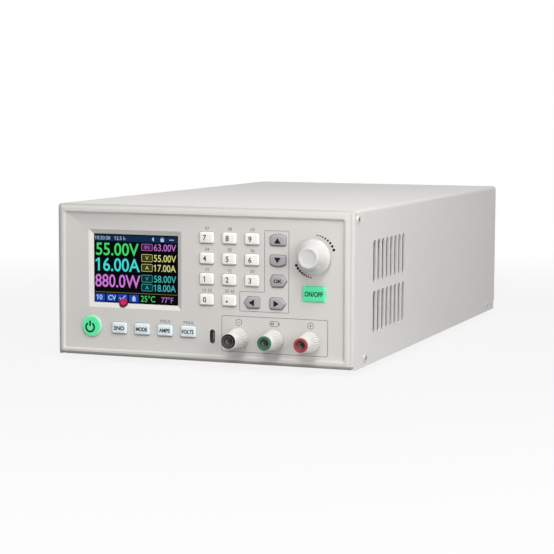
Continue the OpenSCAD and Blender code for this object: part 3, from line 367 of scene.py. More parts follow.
finishes = {
    "case_paint": grained("powder_coat", (0.69, 0.675, 0.65), 0.46, 0.55, 0.020),
    "knob_plastic": grained("knob_white", (0.64, 0.63, 0.61), 0.38, 0.30, 0.004, 6.0, 0.015, 0.15),
    "cap_plastic": grained("cap_white", (0.70, 0.69, 0.665), 0.40, 0.25, 0.004, 5.0, 0.02, 0.1),
    "collar_green": grained("collar_green", (0.012, 0.128, 0.064), 0.34, 0.3, 0.003, 3.0, 0.08, 0.15),
    "collar_red": grained("collar_red", (0.32, 0.022, 0.030), 0.34, 0.3, 0.003, 3.0, 0.08, 0.15),
    "black_plastic": grained("black_moulding", (0.022, 0.022, 0.023), 0.45, 0.30, 0.010, 8.0, 0.15),
    "rocker_black": grained("rocker_gloss", (0.014, 0.014, 0.014), 0.22, 0.5, 0.003, 5.0, 0.1, 0.4),
    "foot_rubber": grained("foot_rubber", (0.025, 0.025, 0.025), 0.75, 0.35, 0.020, 6.0, 0.15),
    "lead_rubber": grained("lead_jacket", (0.33, 0.012, 0.012), 0.42, 0.6, 0.010, 9.0, 0.06),
}
print("plain finishes", len(finishes))

# %% [markdown]
# Some surfaces get painted light and shade. The left and the lower slope of the screen's window have a painted
# highlight, the rim has painted shade along some of its edges, and the keys have painted shade where they look
# down. Each of these is a number from 0 to 1, worked out from the place or from the normal, that mixes in a
# second tone. Painting masks by hand would need an unwrapped surface for every one of the keys.


# %% Masks from the place
def ramp(f, axis, start, end):
    """0 where the axis is at start, 1 where it is at end, both in case millimetres, and straight between."""
    limits = [place((v, v, v))[axis] for v in (start, end)]
    return f.between(f.node("ShaderNodeSeparateXYZ", {}, {0: f.at}, axis), *limits, straight=True)


def ragged(f, far, size, depth):
    """A distance in metres that a noise moves to and fro by up to half the depth, in millimetres."""
    return far + (f.noise(size, 3.0) - 0.5) * (depth * MM)


def off_axis(f, x, z, start, end):
    """0 within start millimetres of the axis through (x, z), 1 beyond end, and a smooth step between."""
    return f.between(ragged(f, f.away((x, 0, z), (1.0, 0.0, 1.0)), 0.8, 0.3), start * MM, end * MM)


print("a ramp from 0 starts at", place((0, 0, 0)).round(4))

# %% Tinted surfaces: painted highlight and painted shade
LEFT, RIGHT, BOTTOM, UPPER, BEVEL = 20.65, 70.15, 28.95, 66.05, 2.5
POST_X, POST_Z = (105.4, 125.25, 145.1), 13.8


def polished_bevel(f):
    """1 on the left and the lower slope of the screen's window, where a painted highlight lightens the panel.
    The distances to the window's outer edges are ramps as wide as the bevel, so the mitre is where two of them
    are equal."""
    left, low = ramp(f, 0, LEFT - BEVEL, LEFT), ramp(f, 2, BOTTOM - BEVEL, BOTTOM)
    right, high = ramp(f, 0, RIGHT + BEVEL, RIGHT), ramp(f, 2, UPPER + BEVEL, UPPER)
    on_left = (left > 0) * (1 - (left > 0.999)) * (low > left) * (high > left)
    on_low = (low > 0) * (1 - (low > 0.999)) * (left > low) * (right > low)
    return on_left + on_low


def rim_edge(f):
    """1 low on the rim, less than half as much along its left and its upper edge: painted shade, as these edges
    are a shade darker in the photograph."""
    return ramp(f, 2, 2.25, 1.95) + ramp(f, 0, 2.4, 1.6) * 0.4 + ramp(f, 2, 80.9, 81.3) * 0.4


def lower_edge(f):
    """Painted shade by how far the surface looks down: 0 while its normal is level, 1 where the normal dips by
    45 degrees.
    """
    normal = f.node("ShaderNodeTexCoord", {}, {}, "Normal")
    return f.between(f.node("ShaderNodeSeparateXYZ", {}, {0: normal}, 2), -0.15, -0.7)


def collar_edge(f):
    """1 beyond 3.3 mm from the post's axis, on the outer edge of the black collar, and 0 within 2.9 mm."""
    return off_axis(f, POST_X[0], POST_Z, 2.9, 3.3)


def collar_mouth(f):
    """1 within 2.1 mm of the post's axis, in the mouth of the black collar, and 0 beyond 2.5 mm: painted shade
    in the mouth.
    """
    return 1 - off_axis(f, POST_X[0], POST_Z, 2.1, 2.5)


# The keys get painted shade where they look down.
under = ((lower_edge, 0.55),)
finishes.update({
    # The panel's tints are a painted highlight on the window's bevel and painted shade along the rim's edges.
    "panel_plastic": grained("panel_moulding", (0.645, 0.625, 0.60), 0.50, 0.22, 0.008,
                             tints=((polished_bevel, 1.10), (rim_edge, 0.50))),
    "key_plastic": grained("key_white", (0.88, 0.85, 0.815), 0.50, 0.20, 0.005, 4.0, tints=under),
    "arrow_plastic": grained("key_grey", (0.385, 0.375, 0.392), 0.48, 0.20, 0.005, 4.0, tints=under),
    "function_plastic": grained("key_pale_blue", (0.75, 0.835, 0.86), 0.45, 0.20, 0.005, 4.0, tints=under),
    # The black collar's mouth is darkened as painted shade.
    "collar_black": grained("collar_black", (0.090, 0.088, 0.078), 0.50, 0.3, 0.003, 3.0, 0.2,
                            tints=((collar_edge, 0.05), (collar_mouth, 0.40))),
})
finishes["collar_black"].set(Specular_IOR_Level=0.12)
print("coated finishes", len(finishes))

# %% [markdown]
# Bare metal needs a direction or a history: plated parts are nearly mirrors with a few dull spots, extruded
# aluminium has fine lines along its length, and a pressed or cast surface is dull and speckled. The lines are
# noise that is stretched by a Mapping node, so it changes quickly across and slowly along the piece.


# %% Metals
def plated(name, colour, rough):
    """Mirror-like metal: roughness is a small base plus sharpened noise, so dull spots are few."""
    f = Finish(name, Metallic=1.0)
    spots = f.noise(2.2, 4.0) ** 3.0
    f.set(Base_Color=f.mix(spots, colour, shade(colour, 0.8)), Roughness=rough + spots * 0.5)
    return f.set(Normal=f.bump(f.noise(0.8), 0.004))


def brushed(name, colour, rough, stretch):
    """Metal with lines: the noise is squeezed by stretch along each axis, and drives tone, gloss and relief."""
    f = Finish(name, Metallic=1.0)
    along = f.node("ShaderNodeMapping", {}, {"Vector": f.at, "Scale": stretch})
    lines = f.noise(0.25, 3.0, along)
    f.set(Base_Color=f.mix(lines, shade(colour, 0.88), shade(colour, 1.06)), Roughness=rough + lines * 0.18)
    return f.set(Normal=f.bump(lines, 0.006))


NICKEL = (0.66, 0.64, 0.60)
finishes.update({
    "nickel": plated("nickel_plate", NICKEL, 0.16),
    "chrome_wire": plated("bright_wire", (0.74, 0.74, 0.75), 0.12),
    "zinc": brushed("cast_zinc", (0.50, 0.50, 0.51), 0.42, (1.0, 1.0, 1.0)),
    "aluminium": brushed("drawn_aluminium", (0.70, 0.70, 0.71), 0.28, (0.05, 1.0, 1.0)),
    "screen_metal": brushed("pressed_sheet", (0.62, 0.62, 0.63), 0.30, (0.08, 1.0, 1.0)),
})
print("with the metals", len(finishes))

# %% [markdown]
# Four finishes are their own case. A circuit board shows pale tracks through its green lacquer, drawn here with
# a brick pattern of thin joints. The screen is dark glass. The pull tab is thin film, bright where it lies on
# the glass, with painted shade where it bends away. The output key and the power button are milky plastic with
# a lamp behind: the glow is strongest in the middle of the key and falls off with the distance from its centre.


# %% Board, glass, film and lit keys
def lacquered_board(name):
    """Dark green lacquer, and a paler green in the joints of a brick pattern, which stand for the tracks."""
    f = Finish(name, Coat_Weight=0.3)
    flat = f.node("ShaderNodeMapping", {}, {"Vector": f.at, "Rotation": (math.pi / 2, 0, 0)})
    tracks = f.node("ShaderNodeTexBrick", {"offset": 0.37, "squash": 1.6},
                    {"Vector": flat, "Scale": 90.0, "Mortar Size": 0.018, "Mortar Smooth": 0.2,
                     "Color1": (0, 0, 0, 1), "Color2": (0.15, 0.15, 0.15, 1), "Mortar": (1, 1, 1, 1)})
    f.set(Base_Color=f.mix(tracks, (0.010, 0.085, 0.035), (0.04, 0.20, 0.075)))
    return f.set(Roughness=0.30 + f.noise(1.5) * 0.2, Normal=f.bump(tracks, 0.03))


def dark_glass(name):
    """Nearly black, with wide smears that change its gloss by a tenth."""
    f = Finish(name, Specular_IOR_Level=0.02)
    smear = f.noise(9.0, 4.0)
    f.set(Base_Color=f.mix(smear, (0.001, 0.0012, 0.002), (0.002, 0.0025, 0.004)))
    return f.set(Roughness=0.10 + smear * 0.10, Normal=f.bump(f.noise(14.0), 0.004))


def lit_key(name, centre, reach, body, lamp, edge):
    """Body and lamp colours on the top; between the two reaches, in millimetres from the centre, both turn to
    the edge's pair, as a smooth step, because the wall of a milky cap scatters the light."""
    f = Finish(name, Roughness=0.42, Emission_Strength=1.0)
    step = f.between(ragged(f, f.away(centre), 1.2, 0.6), reach[0] * MM, reach[1] * MM)
    f.set(Base_Color=f.mix(step, body, edge[0]), Emission_Color=f.mix(step, lamp, edge[1]))
    return f.set(Normal=f.bump(f.noise(0.25), 0.004))


def folded_film(name, x, z):
    """Film that is bright round the place (x, z), where it lies on the glass, and has painted shade where it
    bends away.
    """
    f = Finish(name, Specular_IOR_Level=0.2)
    f.set(Base_Color=f.mix(off_axis(f, x, z, 1.6, 2.3), (0.62, 0.012, 0.11), (0.085, 0.008, 0.018)))
    return f.set(Roughness=0.30 + f.noise(1.2) * 0.15, Normal=f.bump(f.noise(1.2), 0.02))


tab_x, _, tab_z = spot("film_tab")
finishes["tab_red"] = folded_film("tab_film", tab_x - 0.1, tab_z + 1.0)
finishes["board_green"] = lacquered_board("board_lacquer")
finishes["screen"] = dark_glass("screen_glass")
slot_of = {part["node"]: part["material_slot"] for part in frame["record"]["subparts"]}
print("slots without a finish yet:", sorted(set(slot_of.values()) - set(finishes)))

# %% [markdown]
# ## Carried-over pieces
#
# The model's own solids arrive as loose triangles with flat shading. Their meshes stay untouched, and a small
# geometry node group is put on them as a modifier: it welds the corners and smooths every edge that is flatter
# than 35 degrees, so that bends and bores look round while corners stay crisp.

# %% Smooth the bends of the model's solids
smoother = bpy.data.node_groups.new("smooth_bends", "GeometryNodeTree")
for in_out in ("INPUT", "OUTPUT"):
    smoother.interface.new_socket("Geometry", in_out=in_out, socket_type="NodeSocketGeometry")
entry, leave, weld, angle, sharp, faces, edges = (smoother.nodes.new(kind) for kind in (
    "NodeGroupInput", "NodeGroupOutput", "GeometryNodeMergeByDistance", "GeometryNodeInputMeshEdgeAngle",
    "ShaderNodeMath", "GeometryNodeSetShadeSmooth", "GeometryNodeSetShadeSmooth"))
weld.inputs["Distance"].default_value = 1e-6
sharp.operation, sharp.inputs[1].default_value = "GREATER_THAN", math.radians(35)
edges.domain, edges.inputs["Shade Smooth"].default_value = "EDGE", False
for start, end in ((entry.outputs[0], weld.inputs["Geometry"]), (weld.outputs[0], faces.inputs["Geometry"]),
                   (faces.outputs[0], edges.inputs["Geometry"]),
                   (angle.outputs["Unsigned Angle"], sharp.inputs[0]),
                   (sharp.outputs[0], edges.inputs["Selection"]), (edges.outputs[0], leave.inputs[0])):
    smoother.links.new(start, end)


def finish(thing, look):
    """Gives a piece the finish of a material slot of the record, or its own finish."""
    thing.data.materials.clear()
    thing.data.materials.append((finishes[look] if isinstance(look, str) else look).material)
    isinstance(look, str) and "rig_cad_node" not in thing


for name, thing in nodes.items():
    if slot_of[name] in finishes:
        finish(thing, slot_of[name])
    thing.modifiers.new("smooth_bends", "NODES").node_group = smoother
print("smoothed", len(nodes), "solids")

# %% [markdown]
# Every new piece gets a finish and rides on a body of the model. Where it takes the place of a solid, that
# solid is hidden.


# %% A new piece joins the model
def join(thing, look, body, node=None):
    """Finish first, then the node that the piece replaces is hidden, then the piece rides on its body."""
    finish(thing, look)
    if node is not None:
        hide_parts(node)
    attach(thing, body)


# %% [markdown]
# Looking into a post, the first millimetre of its socket is in the shade of the coloured collar, and the metal
# comes out further in, except under the upper wall. So the socket's tone is painted light and shade that
# depends on the place: two ramps along y and one along z mix four colours. Further from the axis than the
# bore's radius the same solid is plain nickel, which shows when the cap is screwed out.


# %% The sockets in the posts
def socket_metal(colour, mouth):
    """Metal with painted light and shade: it gets brighter from 11.5 to 7 mm in front of the rim, has painted
    shade high in the bore, and the collar's colour in the mouth as painted shade."""
    x, _, z = spot(f"post_{colour}_stud")
    f = Finish(f"socket_metal_{colour}")
    stain, outside = f.noise(0.9, 3.0), off_axis(f, x, z, 2.2, 2.5)
    # Painted light deeper in, painted shade high in the bore and in the mouth.
    inside = f.mix(ramp(f, 1, -11.5, -7.0), (0.80, 0.76, 0.71), (1.0, 0.96, 0.92))
    inside = f.mix(ramp(f, 2, z + 0.5, z + 1.3), inside, (0.16, 0.14, 0.12))
    inside = f.mix(ramp(f, 1, -11.4, -12.2), inside, mouth)
    f.set(Base_Color=f.mix(outside, inside, NICKEL), Metallic=0.4 + outside * 0.6)
    return f.set(Roughness=0.55 - outside * 0.33 + stain * 0.15, Normal=f.bump(stain, 0.004))


mouth_shades = {"black": (0.012, 0.012, 0.011), "green": (0.004, 0.05, 0.024), "red": (0.10, 0.012, 0.012)}
for colour, mouth in mouth_shades.items():
    finish(nodes[f"post_{colour}_stud"], socket_metal(colour, mouth))
print("socket finishes", len(mouth_shades))

# %% [markdown]
# ## The moulded rim
#
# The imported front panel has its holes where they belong, but its rim is made of flat slopes. Here the rim is
# taken off a copy and a rounded one is put on: the copy's own ring of corner points at the outer edge and the
# ring at the face give the first and the last row of a grid, and the rows between follow a profile. As both
# rings have the same number of points, each column simply runs from one point to its partner. A Bevel modifier
# would round every slope alike, but this rim differs from side to side.

# %% The rim's two rings
FACE = 1.5
RIM_EDGE, RIM_FOOT = 1.1, 5.65
RIGHT_FOOT, RIGHT_SHIFT = 6.3, 0.9


def mesh_arrays(thing):
    """Points of a solid in case millimetres and its triangles as rows of three point numbers."""
    points, faces = np.empty(len(thing.data.vertices) * 3), np.empty(len(thing.data.loops), int)
    thing.data.vertices.foreach_get("co", points)
    thing.data.loops.foreach_get("vertex_index", faces)
    return (points.reshape(-1, 3) - ORIGIN) / MM, faces.reshape(-1, 3)


def ring_of(points, chosen):
    """The chosen points without doubles, in order round the middle of the panel."""
    ring = np.unique(points[chosen].round(4), axis=0)
    return ring[np.argsort(np.arctan2(ring[:, 2] - CASE_H / 2, ring[:, 0] - CASE_W / 2))]


points, faces = mesh_arrays(nodes["front_panel"])
from_right = CASE_W - points[:, 0]
inset = np.minimum.reduce([points[:, 0], from_right, points[:, 2], CASE_H - points[:, 2]])
outer_edge = np.abs(points[:, 1] - RIM_EDGE) < 0.02
foot = (np.abs(points[:, 1] - FACE) < 0.02) & (np.abs(inset - RIM_FOOT) < 0.5)
points[foot & (points[:, 0] > CASE_W / 2) & (from_right < RIGHT_FOOT), 0] -= RIGHT_SHIFT
outer_ring, foot_ring = ring_of(points, outer_edge), ring_of(points, foot)
print("rim rings", len(outer_ring), len(foot_ring))

# %% [markdown]
# A profile is a list of pairs: the way in from the outer edge, and the depth. At the top the rim has one long
# slope, at the right it is wider and has a fine groove along its outer side, and at the left and at the bottom
# it is slimmer. Round the ring the three are mixed by the direction in which the rim looks.

# %% Three profiles mixed round the rim
top = np.array([
    (0.5, 1.42), (0.9, 1.37), (1.4, 1.30), (1.8, 1.19), (2.1, 1.01), (2.5, 0.70), (2.8, 0.51), (3.1, 0.44),
    (3.8, 0.42), (4.4, 0.43), (4.78, 0.48), (4.9, 0.66), (4.97, 1.0), (5.05, 1.3), (5.2, FACE)])
right = np.array([
    (0.5, 1.42), (0.7, 1.2), (0.95, 1.03), (1.25, 0.98), (1.5, 1.0), (1.7, 1.2), (1.9, 1.36), (2.1, 1.27),
    (2.6, 1.02), (3.2, 0.74), (3.75, 0.52), (4.3, 0.44), (4.85, 0.48), (5.08, 0.9), (5.2, FACE)])
slim = np.array([
    (0.5, 1.42), (0.7, 1.15), (0.95, 0.93), (1.25, 0.74), (1.55, 0.60), (1.9, 0.50), (2.3, 0.45), (2.7, 0.46),
    (2.9, 0.49), (3.1, 0.56), (3.3, 0.68), (3.5, 0.90), (3.7, 1.15), (3.95, 1.42), (5.2, FACE)])
across = outer_ring - foot_ring
across /= np.linalg.norm(across, axis=1)[:, None]
slimness = np.clip(0.5 - 0.7 * (across[:, 0] + across[:, 2]), 0, 1)[None, :, None]
rightness = np.clip(0.5 + 0.7 * (across[:, 0] - across[:, 2]), 0, 1)[None, :, None]
profile = top[:, None] * (1 - rightness) + right[:, None] * rightness
profile = profile * (1 - slimness) + slim[:, None] * slimness
rim_start, rim_end = top[0, 0], top[-1, 0]
part_way = (profile[:, :, :1] - rim_start) / (rim_end - rim_start)
skin = outer_ring * (1 - part_way) + foot_ring * part_way
skin[:, :, 1] = profile[:, :, 1]
points[outer_edge, 1] = top[0, 1]
keep = (points[faces][:, :, 1] > RIM_EDGE - 0.05).all(1)
front = piece("front_panel_moulded", [(points, faces[keep].tolist()), grid_shell(skin)], 25)
join(front, "panel_plastic", "case", "front_panel")
print("rim rows", len(skin), "faces left out", int((~keep).sum()))

# %% [markdown]
# ## Keys
#
# A key is one moulded cap. It could be a box with a Bevel modifier, but then its lip, its stem and its crowned
# top would be three more pieces. Here it is one closed skin, whose rows run from the middle of the stem's end,
# out over the lip that holds the key behind the panel, up its side, round a soft edge and over a slightly
# crowned top to the middle. The stem is round and the top is not, so each row blends between a circle and the
# key's outline. The crown is a formula of x and z, and the legends use the same formula to lie on it.

# %% The outline of each kind of key
turned = {90: ((0, 1), (-1, 0)), -90: ((0, -1), (1, 0)), 180: ((-1, 0), (0, -1)), 0: ((1, 0), (0, 1))}


def resample(outline, n=72):
    """The same closed outline with n points at equal steps along it."""
    closed = np.concatenate([outline, outline[:1]])
    run = np.concatenate([[0], np.cumsum(np.linalg.norm(np.diff(closed, axis=0), axis=1))])
    at = np.linspace(0, run[-1], n, endpoint=False)
    return np.stack([np.interp(at, run, closed[:, k]) for k in (0, 1)], -1)


def soften(outline, times=3):
    """Each point moves a quarter of the way to both neighbours, a few times."""
    for _ in range(times):
        outline = outline / 2 + (np.roll(outline, 1, 0) + np.roll(outline, -1, 0)) / 4
    return outline


def key_outline(kind, w, h, way=0, r=1.1, bulge=1.5, nib=2.3):
    """Round the key's middle: a rounded rectangle; an arch or a peak whose far side bulges towards the angle
    way; or a key with a point at both ends. The arch's radius follows from its chord h and its bulge:
    radius = (h * h / 4 + bulge * bulge) / (2 * bulge). Corners are rounded by averaging along the outline."""
    if kind == "box":
        return resample(rounded(w, h, r))
    if kind == "arch":
        radius = (h * h / 4 + bulge ** 2) / (2 * bulge)
        half = math.degrees(math.asin(h / 2 / radius))
        nose = arc(w / 2 - radius, 0, radius, -half, half, 17)
    elif kind == "peak":
        nose = np.array([[w / 2 - nib, -h / 2], [w / 2, 0], [w / 2 - nib, h / 2]])
    else:
        right, left = w * 0.27, -w * 0.36
        corners = [[w / 2, 0], [right, h / 2], [left, h / 2], [-w / 2, 0], [left, -h / 2], [right, -h / 2]]
        return soften(resample(np.array(corners)))
    tail = np.concatenate([arc(r - w / 2, h / 2 - r, r, 90, 180), arc(r - w / 2, r - h / 2, r, 180, 270)])
    return soften(resample(np.concatenate([nose, tail]))) @ np.array(turned[way])


print("outlines:", [len(key_outline(k, 8.9, 6.1)) for k in ("box", "arch", "peak", "point")])

# %% The skin of a key
KEY_FRONT, CROWN, SOFT = 0.3, 0.25, 0.95
SIDE_FRONT = KEY_FRONT + SOFT + 0.1
STEM_R, STEM_END, LIP, LIP_FRONT, LIP_BACK = 1.5, 7.1, 0.95, 4.1, 5.1


def outward(outline):
    """Unit normals of a closed outline that runs anticlockwise."""
    along = np.roll(outline, -1, 0) - np.roll(outline, 1, 0)
    normal = np.stack([along[:, 1], -along[:, 0]], -1)
    return normal / np.linalg.norm(normal, axis=1)[:, None]


def crown(x, z, w, h):
    """Depth of a key's top: the front in the middle, and CROWN further back towards the edges, as the
    product of two parabolas."""
    rise = (1 - np.clip(2 * x / w, -1, 1) ** 2) * (1 - np.clip(2 * z / h, -1, 1) ** 2)
    return KEY_FRONT + CROWN * (1 - rise)


def key_skin(outline, cx, cz):
    """Rows from the stem's end to the top's middle. A row is the outline moved out by a gap, or a circle, at
    one depth; the soft edge is a quarter ellipse; the top's rows shrink to the middle and follow the crown."""
    w, h = np.ptp(outline, axis=0)
    normal = outward(outline)
    start = math.degrees(math.atan2(outline[0, 1], outline[0, 0]))
    circle = arc(0, 0, STEM_R, start, start + 360, len(outline) + 1)[:-1]
    lip = outline + normal * LIP
    grid = [at_depth(o, y) for o, y in (
        (circle * 0, STEM_END), (circle, STEM_END), (circle, LIP_BACK), (lip, LIP_BACK), (lip, LIP_FRONT),
        (outline, LIP_FRONT), (outline, SIDE_FRONT))]
    for a in np.radians(np.linspace(15, 90, 6)):
        o = outline - normal * SOFT * (1 - math.cos(a))
        top = crown(o[:, 0], o[:, 1], w, h)
        grid.append(at_depth(o, top + (SIDE_FRONT - top) * (1 - math.sin(a))))
    inner = outline - normal * SOFT
    for s in np.linspace(0.9, 0, 9):
        o = inner * s
        grid.append(at_depth(o, crown(o[:, 0], o[:, 1], w, h)))
    return np.stack(grid) + (cx, 0, cz)


print("a key's skin", key_skin(key_outline("box", 8.9, 6.1), 0, 0).shape)

# %% The keys in their places
PAD_X, PAD_Z, ARROW_X = (87.25, 100.0, 112.75), (33.25, 44.1, 54.95, 65.8), 127.15
OUTPUT_X, OUTPUT_Z = 147.1, 38.6
numeric = {"0": (0, 0), "dot": (1, 0), "1": (0, 1), "2": (1, 1), "3": (2, 1), "4": (0, 2), "5": (1, 2),
           "6": (2, 2), "7": (0, 3), "8": (1, 3), "9": (2, 3)}
keys = {f"key_{d}": ("box", PAD_X[c], PAD_Z[r], 8.1, 6.2, 0) for d, (c, r) in numeric.items()}
keys.update({
    "key_up": ("arch", ARROW_X, PAD_Z[3], 6.1, 8.9, 90),
    "key_down": ("arch", ARROW_X, PAD_Z[2], 6.1, 8.9, -90),
    "key_enter": ("point", ARROW_X + 0.3, PAD_Z[1] + 0.4, 9.4, 6.5, 0),
    "key_left": ("peak", PAD_X[2], PAD_Z[0] - 0.5, 8.9, 6.1, 180),
    "key_right": ("peak", ARROW_X, PAD_Z[0] - 0.5, 8.9, 6.1, 0),
    "key_output": ("box", OUTPUT_X, OUTPUT_Z, 12.6, 8.0, 0)})
keys.update({f"key_{name}": ("box", 36.4 + 13.4 * i, 15.7, 8.9, 6.3, 0)
             for i, name in enumerate(("shift", "menu", "current", "voltage"))})
finishes["lit_green"] = lit_key("lit_output", (OUTPUT_X, KEY_FRONT, OUTPUT_Z), (5.4, 8.0), (0.06, 0.44, 0.24),
                                (0.035, 0.30, 0.135), ((0.16, 0.50, 0.34), (0.12, 0.50, 0.28)))
tops = {}
for name, (kind, x, z, w, h, way) in keys.items():
    outline = key_outline(kind, w, h, way)
    key = piece(name + "_top", [grid_shell(key_skin(outline, x, z))], 50)
    join(key, slot_of[name], name, name)
    tops[name] = (x, z, *np.ptp(outline, axis=0))
print("keys", len(keys), "each with", len(key.data.polygons), "faces")

# %% [markdown]
# The power button is round, so it is turned instead of woven: the same rows, read as radius and depth, are
# carried round its axis. A Screw modifier would do that too, but it can't flute a cap, and the posts below use
# the same lines.


# %% Turned shapes
def turned_shell(profile, x, z, steps=72, radius=None):
    """A profile of (radius, depth) rows carried round the axis through (x, z). radius may change each point's
    radius with its angle, its row and its depth."""
    profile = np.asarray(profile, float)
    a = np.linspace(0, 2 * math.pi, steps, endpoint=False)
    r = np.repeat(profile[:, :1], steps, 1)
    if radius is not None:
        r = radius(r, a[None, :], profile[:, 1:])
    y = np.repeat(profile[:, 1:], steps, 1)
    return grid_shell(np.stack([x + r * np.cos(a), y, z + r * np.sin(a)], -1))


def bow(r0, y0, r1, y1, n=6):
    """A quarter ellipse from (r0, y0), leaving along the depth, to (r1, y1), arriving along the radius."""
    t = np.radians(np.linspace(0, 90, n))
    return [(r1 + (r0 - r1) * math.cos(a), y0 + (y1 - y0) * math.sin(a)) for a in t]


BUTTON_X, BUTTON_Z, BUTTON_R = 20.1, 16.2, 5.9
rows = [(0, STEM_END), (STEM_R, STEM_END), (STEM_R, LIP_BACK), (BUTTON_R + LIP, LIP_BACK),
        (BUTTON_R + LIP, LIP_FRONT), (BUTTON_R, LIP_FRONT), *bow(BUTTON_R, 1.25, BUTTON_R - 1.5, 0.34, 12),
        (3.5, 0.32), (1.8, 0.31), (0, KEY_FRONT)]
glow = lit_key("lit_power", (BUTTON_X, KEY_FRONT, BUTTON_Z), (4.5, 6.1), (0.06, 0.48, 0.25),
               (0.035, 0.33, 0.12), ((0.50, 0.68, 0.55), (0.04, 0.10, 0.06)))
button = piece("power_button_top", [turned_shell(rows, BUTTON_X, BUTTON_Z)])
join(button, glow, "power_button", "power_button")
print("button rows", len(rows))

# %% [markdown]
# ## Knob and output posts
#
# The knob is a turned piece as well: a thin foot rim, a flank that hollows as it narrows, a round-edged nose
# and a shallow dish for a fingertip. The flank's depth grows as the power 1.75 of the way along it, which
# makes the hollow.

# %% The encoder knob
KNOB_X, KNOB_Z, KNOB_NOSE, KNOB_FOOT = 147.1, 57.9, -9.1, 0.4
t = np.linspace(0, 1, 26)
flank = np.column_stack([9.15 - 3.45 * t, -0.5 - 7.2 * t ** 1.75])
shaft_bore = [(0, -7.3), (3.05, -7.3), (3.05, -2.1), (4.15, -2.1), (4.15, KNOB_FOOT)]
dish = [(4.4, -9.08), (4.1, -8.95), (3.7, -8.82), (2.2, -8.72), (0, -8.7)]
rows = [*shaft_bore, (8.9, KNOB_FOOT), *bow(9.2, 0.15, 9.15, -0.5, 4), *flank.tolist(),
        *bow(5.62, -8.3, 4.75, KNOB_NOSE, 9), *dish]
knob = piece("knob_turned", [turned_shell(rows, KNOB_X, KNOB_Z, 96)], 60)
join(knob, "knob_plastic", "knob", "knob")
print("knob rows", len(rows), "length", round(KNOB_FOOT - KNOB_NOSE, 1))

# %% [markdown]
# The post caps are fluted so that fingers can tighten them: the radius gets narrow grooves that fade towards
# the nose, where the cap is plain. The grooves could be cut out with Boolean modifiers, one for each, but as a
# change of the radius they stay part of one clean grid.

# %% The binding posts
FLUTES, FOOT, NOSE, BORE_R = 28, 1.2, -12.4, 3.0


def fluted(r, angle, depth):
    """Radius less a groove: the groove is a cosine along the angle, squared off so that ribs stay wider than
    grooves, on the outer skin only, and it fades out between 60 and 85 percent of the way to the nose."""
    along = (FOOT - depth) / (FOOT - NOSE)
    fade = np.clip((0.85 - along) / 0.25, 0, 1)
    groove = np.clip(0.6 - np.cos(FLUTES * angle), 0, 1.6) / 1.6
    return np.where(r > 3.95, r - 0.55 * fade * groove ** 1.5, r)


t = np.linspace(0, 1, 12)
cone = np.column_stack([5.55 - 1.55 * t, FOOT - 0.35 - (FOOT - 0.35 - NOSE - 0.3) * t])
rows = [(BORE_R, NOSE), (BORE_R, -3.7), (3.5, -3.7), (3.5, -0.5), (4.7, -0.5), (4.7, FOOT), (5.2, FOOT),
        (5.55, FOOT - 0.3), *cone[1:].tolist(), *bow(3.98, NOSE + 0.3, 3.75, NOSE, 4), (BORE_R, NOSE)]
ring = [(BORE_R, -3.9), (3.4, -3.9), (3.4, -12.5), (3.7, -12.5), (3.75, -12.55), (3.75, -13.35),
        *bow(3.75, -13.35, 3.4, -13.7, 6), (2.75, -13.7), (2.45, -13.6), (2.3, -13.35), (2.3, -12.5),
        (BORE_R, -12.5), (BORE_R, -3.9)]
for colour, x in zip(mouth_shades, POST_X):
    cap = piece(f"post_{colour}_fluted_cap", [turned_shell(rows, x, POST_Z, FLUTES * 12, fluted)], 45)
    join(cap, "cap_plastic", f"cap_{colour}", f"post_{colour}_cap")
    collar = piece(f"post_{colour}_ring", [turned_shell(ring, x, POST_Z)], 45)
    join(collar, f"collar_{colour}", f"collar_{colour}", f"post_{colour}_collar")
print("cap faces", len(cap.data.polygons))

# %% [markdown]
# ## Screws
#
# A screw head is a height over a disc: a dome with a six-sided socket. On a polar grid the socket's wall is one
# more pair of rings, whose radius changes with the angle as a hexagon's does, so nothing has to be cut. The six
# cover screws go in from the two side walls, and the rear ones from the back, so the same head is laid along
# another axis.

# %% A head with a six-sided socket
FRAMES = {"-x": ((0, 1, 0), (0, 0, 1), (-1, 0, 0)), "+x": ((0, 1, 0), (0, 0, 1), (1, 0, 0)),
          "+y": ((1, 0, 0), (0, 0, 1), (0, 1, 0))}
SOCKET_DEPTH = 0.5


def polar_shell(r, out, a, base, axis):
    """Rings of radius r at the heights out, over the angles a. The local frame (across, up, out) is laid on the
    axis, out being where the head looks."""
    grid = np.stack([r * np.cos(a), r * np.sin(a), np.array(out)[:, None] + np.zeros(len(a))], -1)
    return grid_shell(grid @ np.array(FRAMES[axis], float) + base)


def screw_shell(base, axis, head_r, head_t, shank_r, length, steps=72):
    """Head: a dome of height head_t over a disc of radius head_r; socket: the rings inside it lie on a hexagon,
    radius = apothem / cos(angle to the nearest flat's middle); shank: a plain pin."""
    a = np.linspace(0, 2 * math.pi, steps, endpoint=False)
    hexagon = 1.13 / np.cos(np.mod(a, math.pi / 3) - math.pi / 6)
    dome = np.array([1.0, 1.0, 0.985, 0.94, 0.86, 0.78, 0.70])
    r = [a * 0, a * 0 + shank_r, a * 0 + shank_r, *(a * 0 + head_r * k for k in dome),
         hexagon * 1.05, hexagon, hexagon * 0.97, a * 0]
    rise = head_t * (0.45 + 0.55 * np.sqrt(1 - 0.98 * dome[1:] ** 2))
    out = [-length, -length, 0.0, 0.0, *rise, rise[-1] + 0.02, rise[-1] - 0.08, -SOCKET_DEPTH, -SOCKET_DEPTH]
    return polar_shell(np.array(r), out, a, base, axis)


def socket_shell(base, axis, out):
    """Painted shade in a socket: a dark six-sided plate that fills it up to the height out."""
    a = np.radians(np.arange(6) * 60.0)
    r = np.array([a * 0, a * 0 + 1.29, a * 0 + 1.29, a * 0])
    low = 0.05 - SOCKET_DEPTH
    return polar_shell(r, [low, low, out, out], a, base, axis)


print("a screw has", len(screw_shell((0, 0, 0), "+y", 3.2, 2.2, 1.9, 10)[1]), "quads")

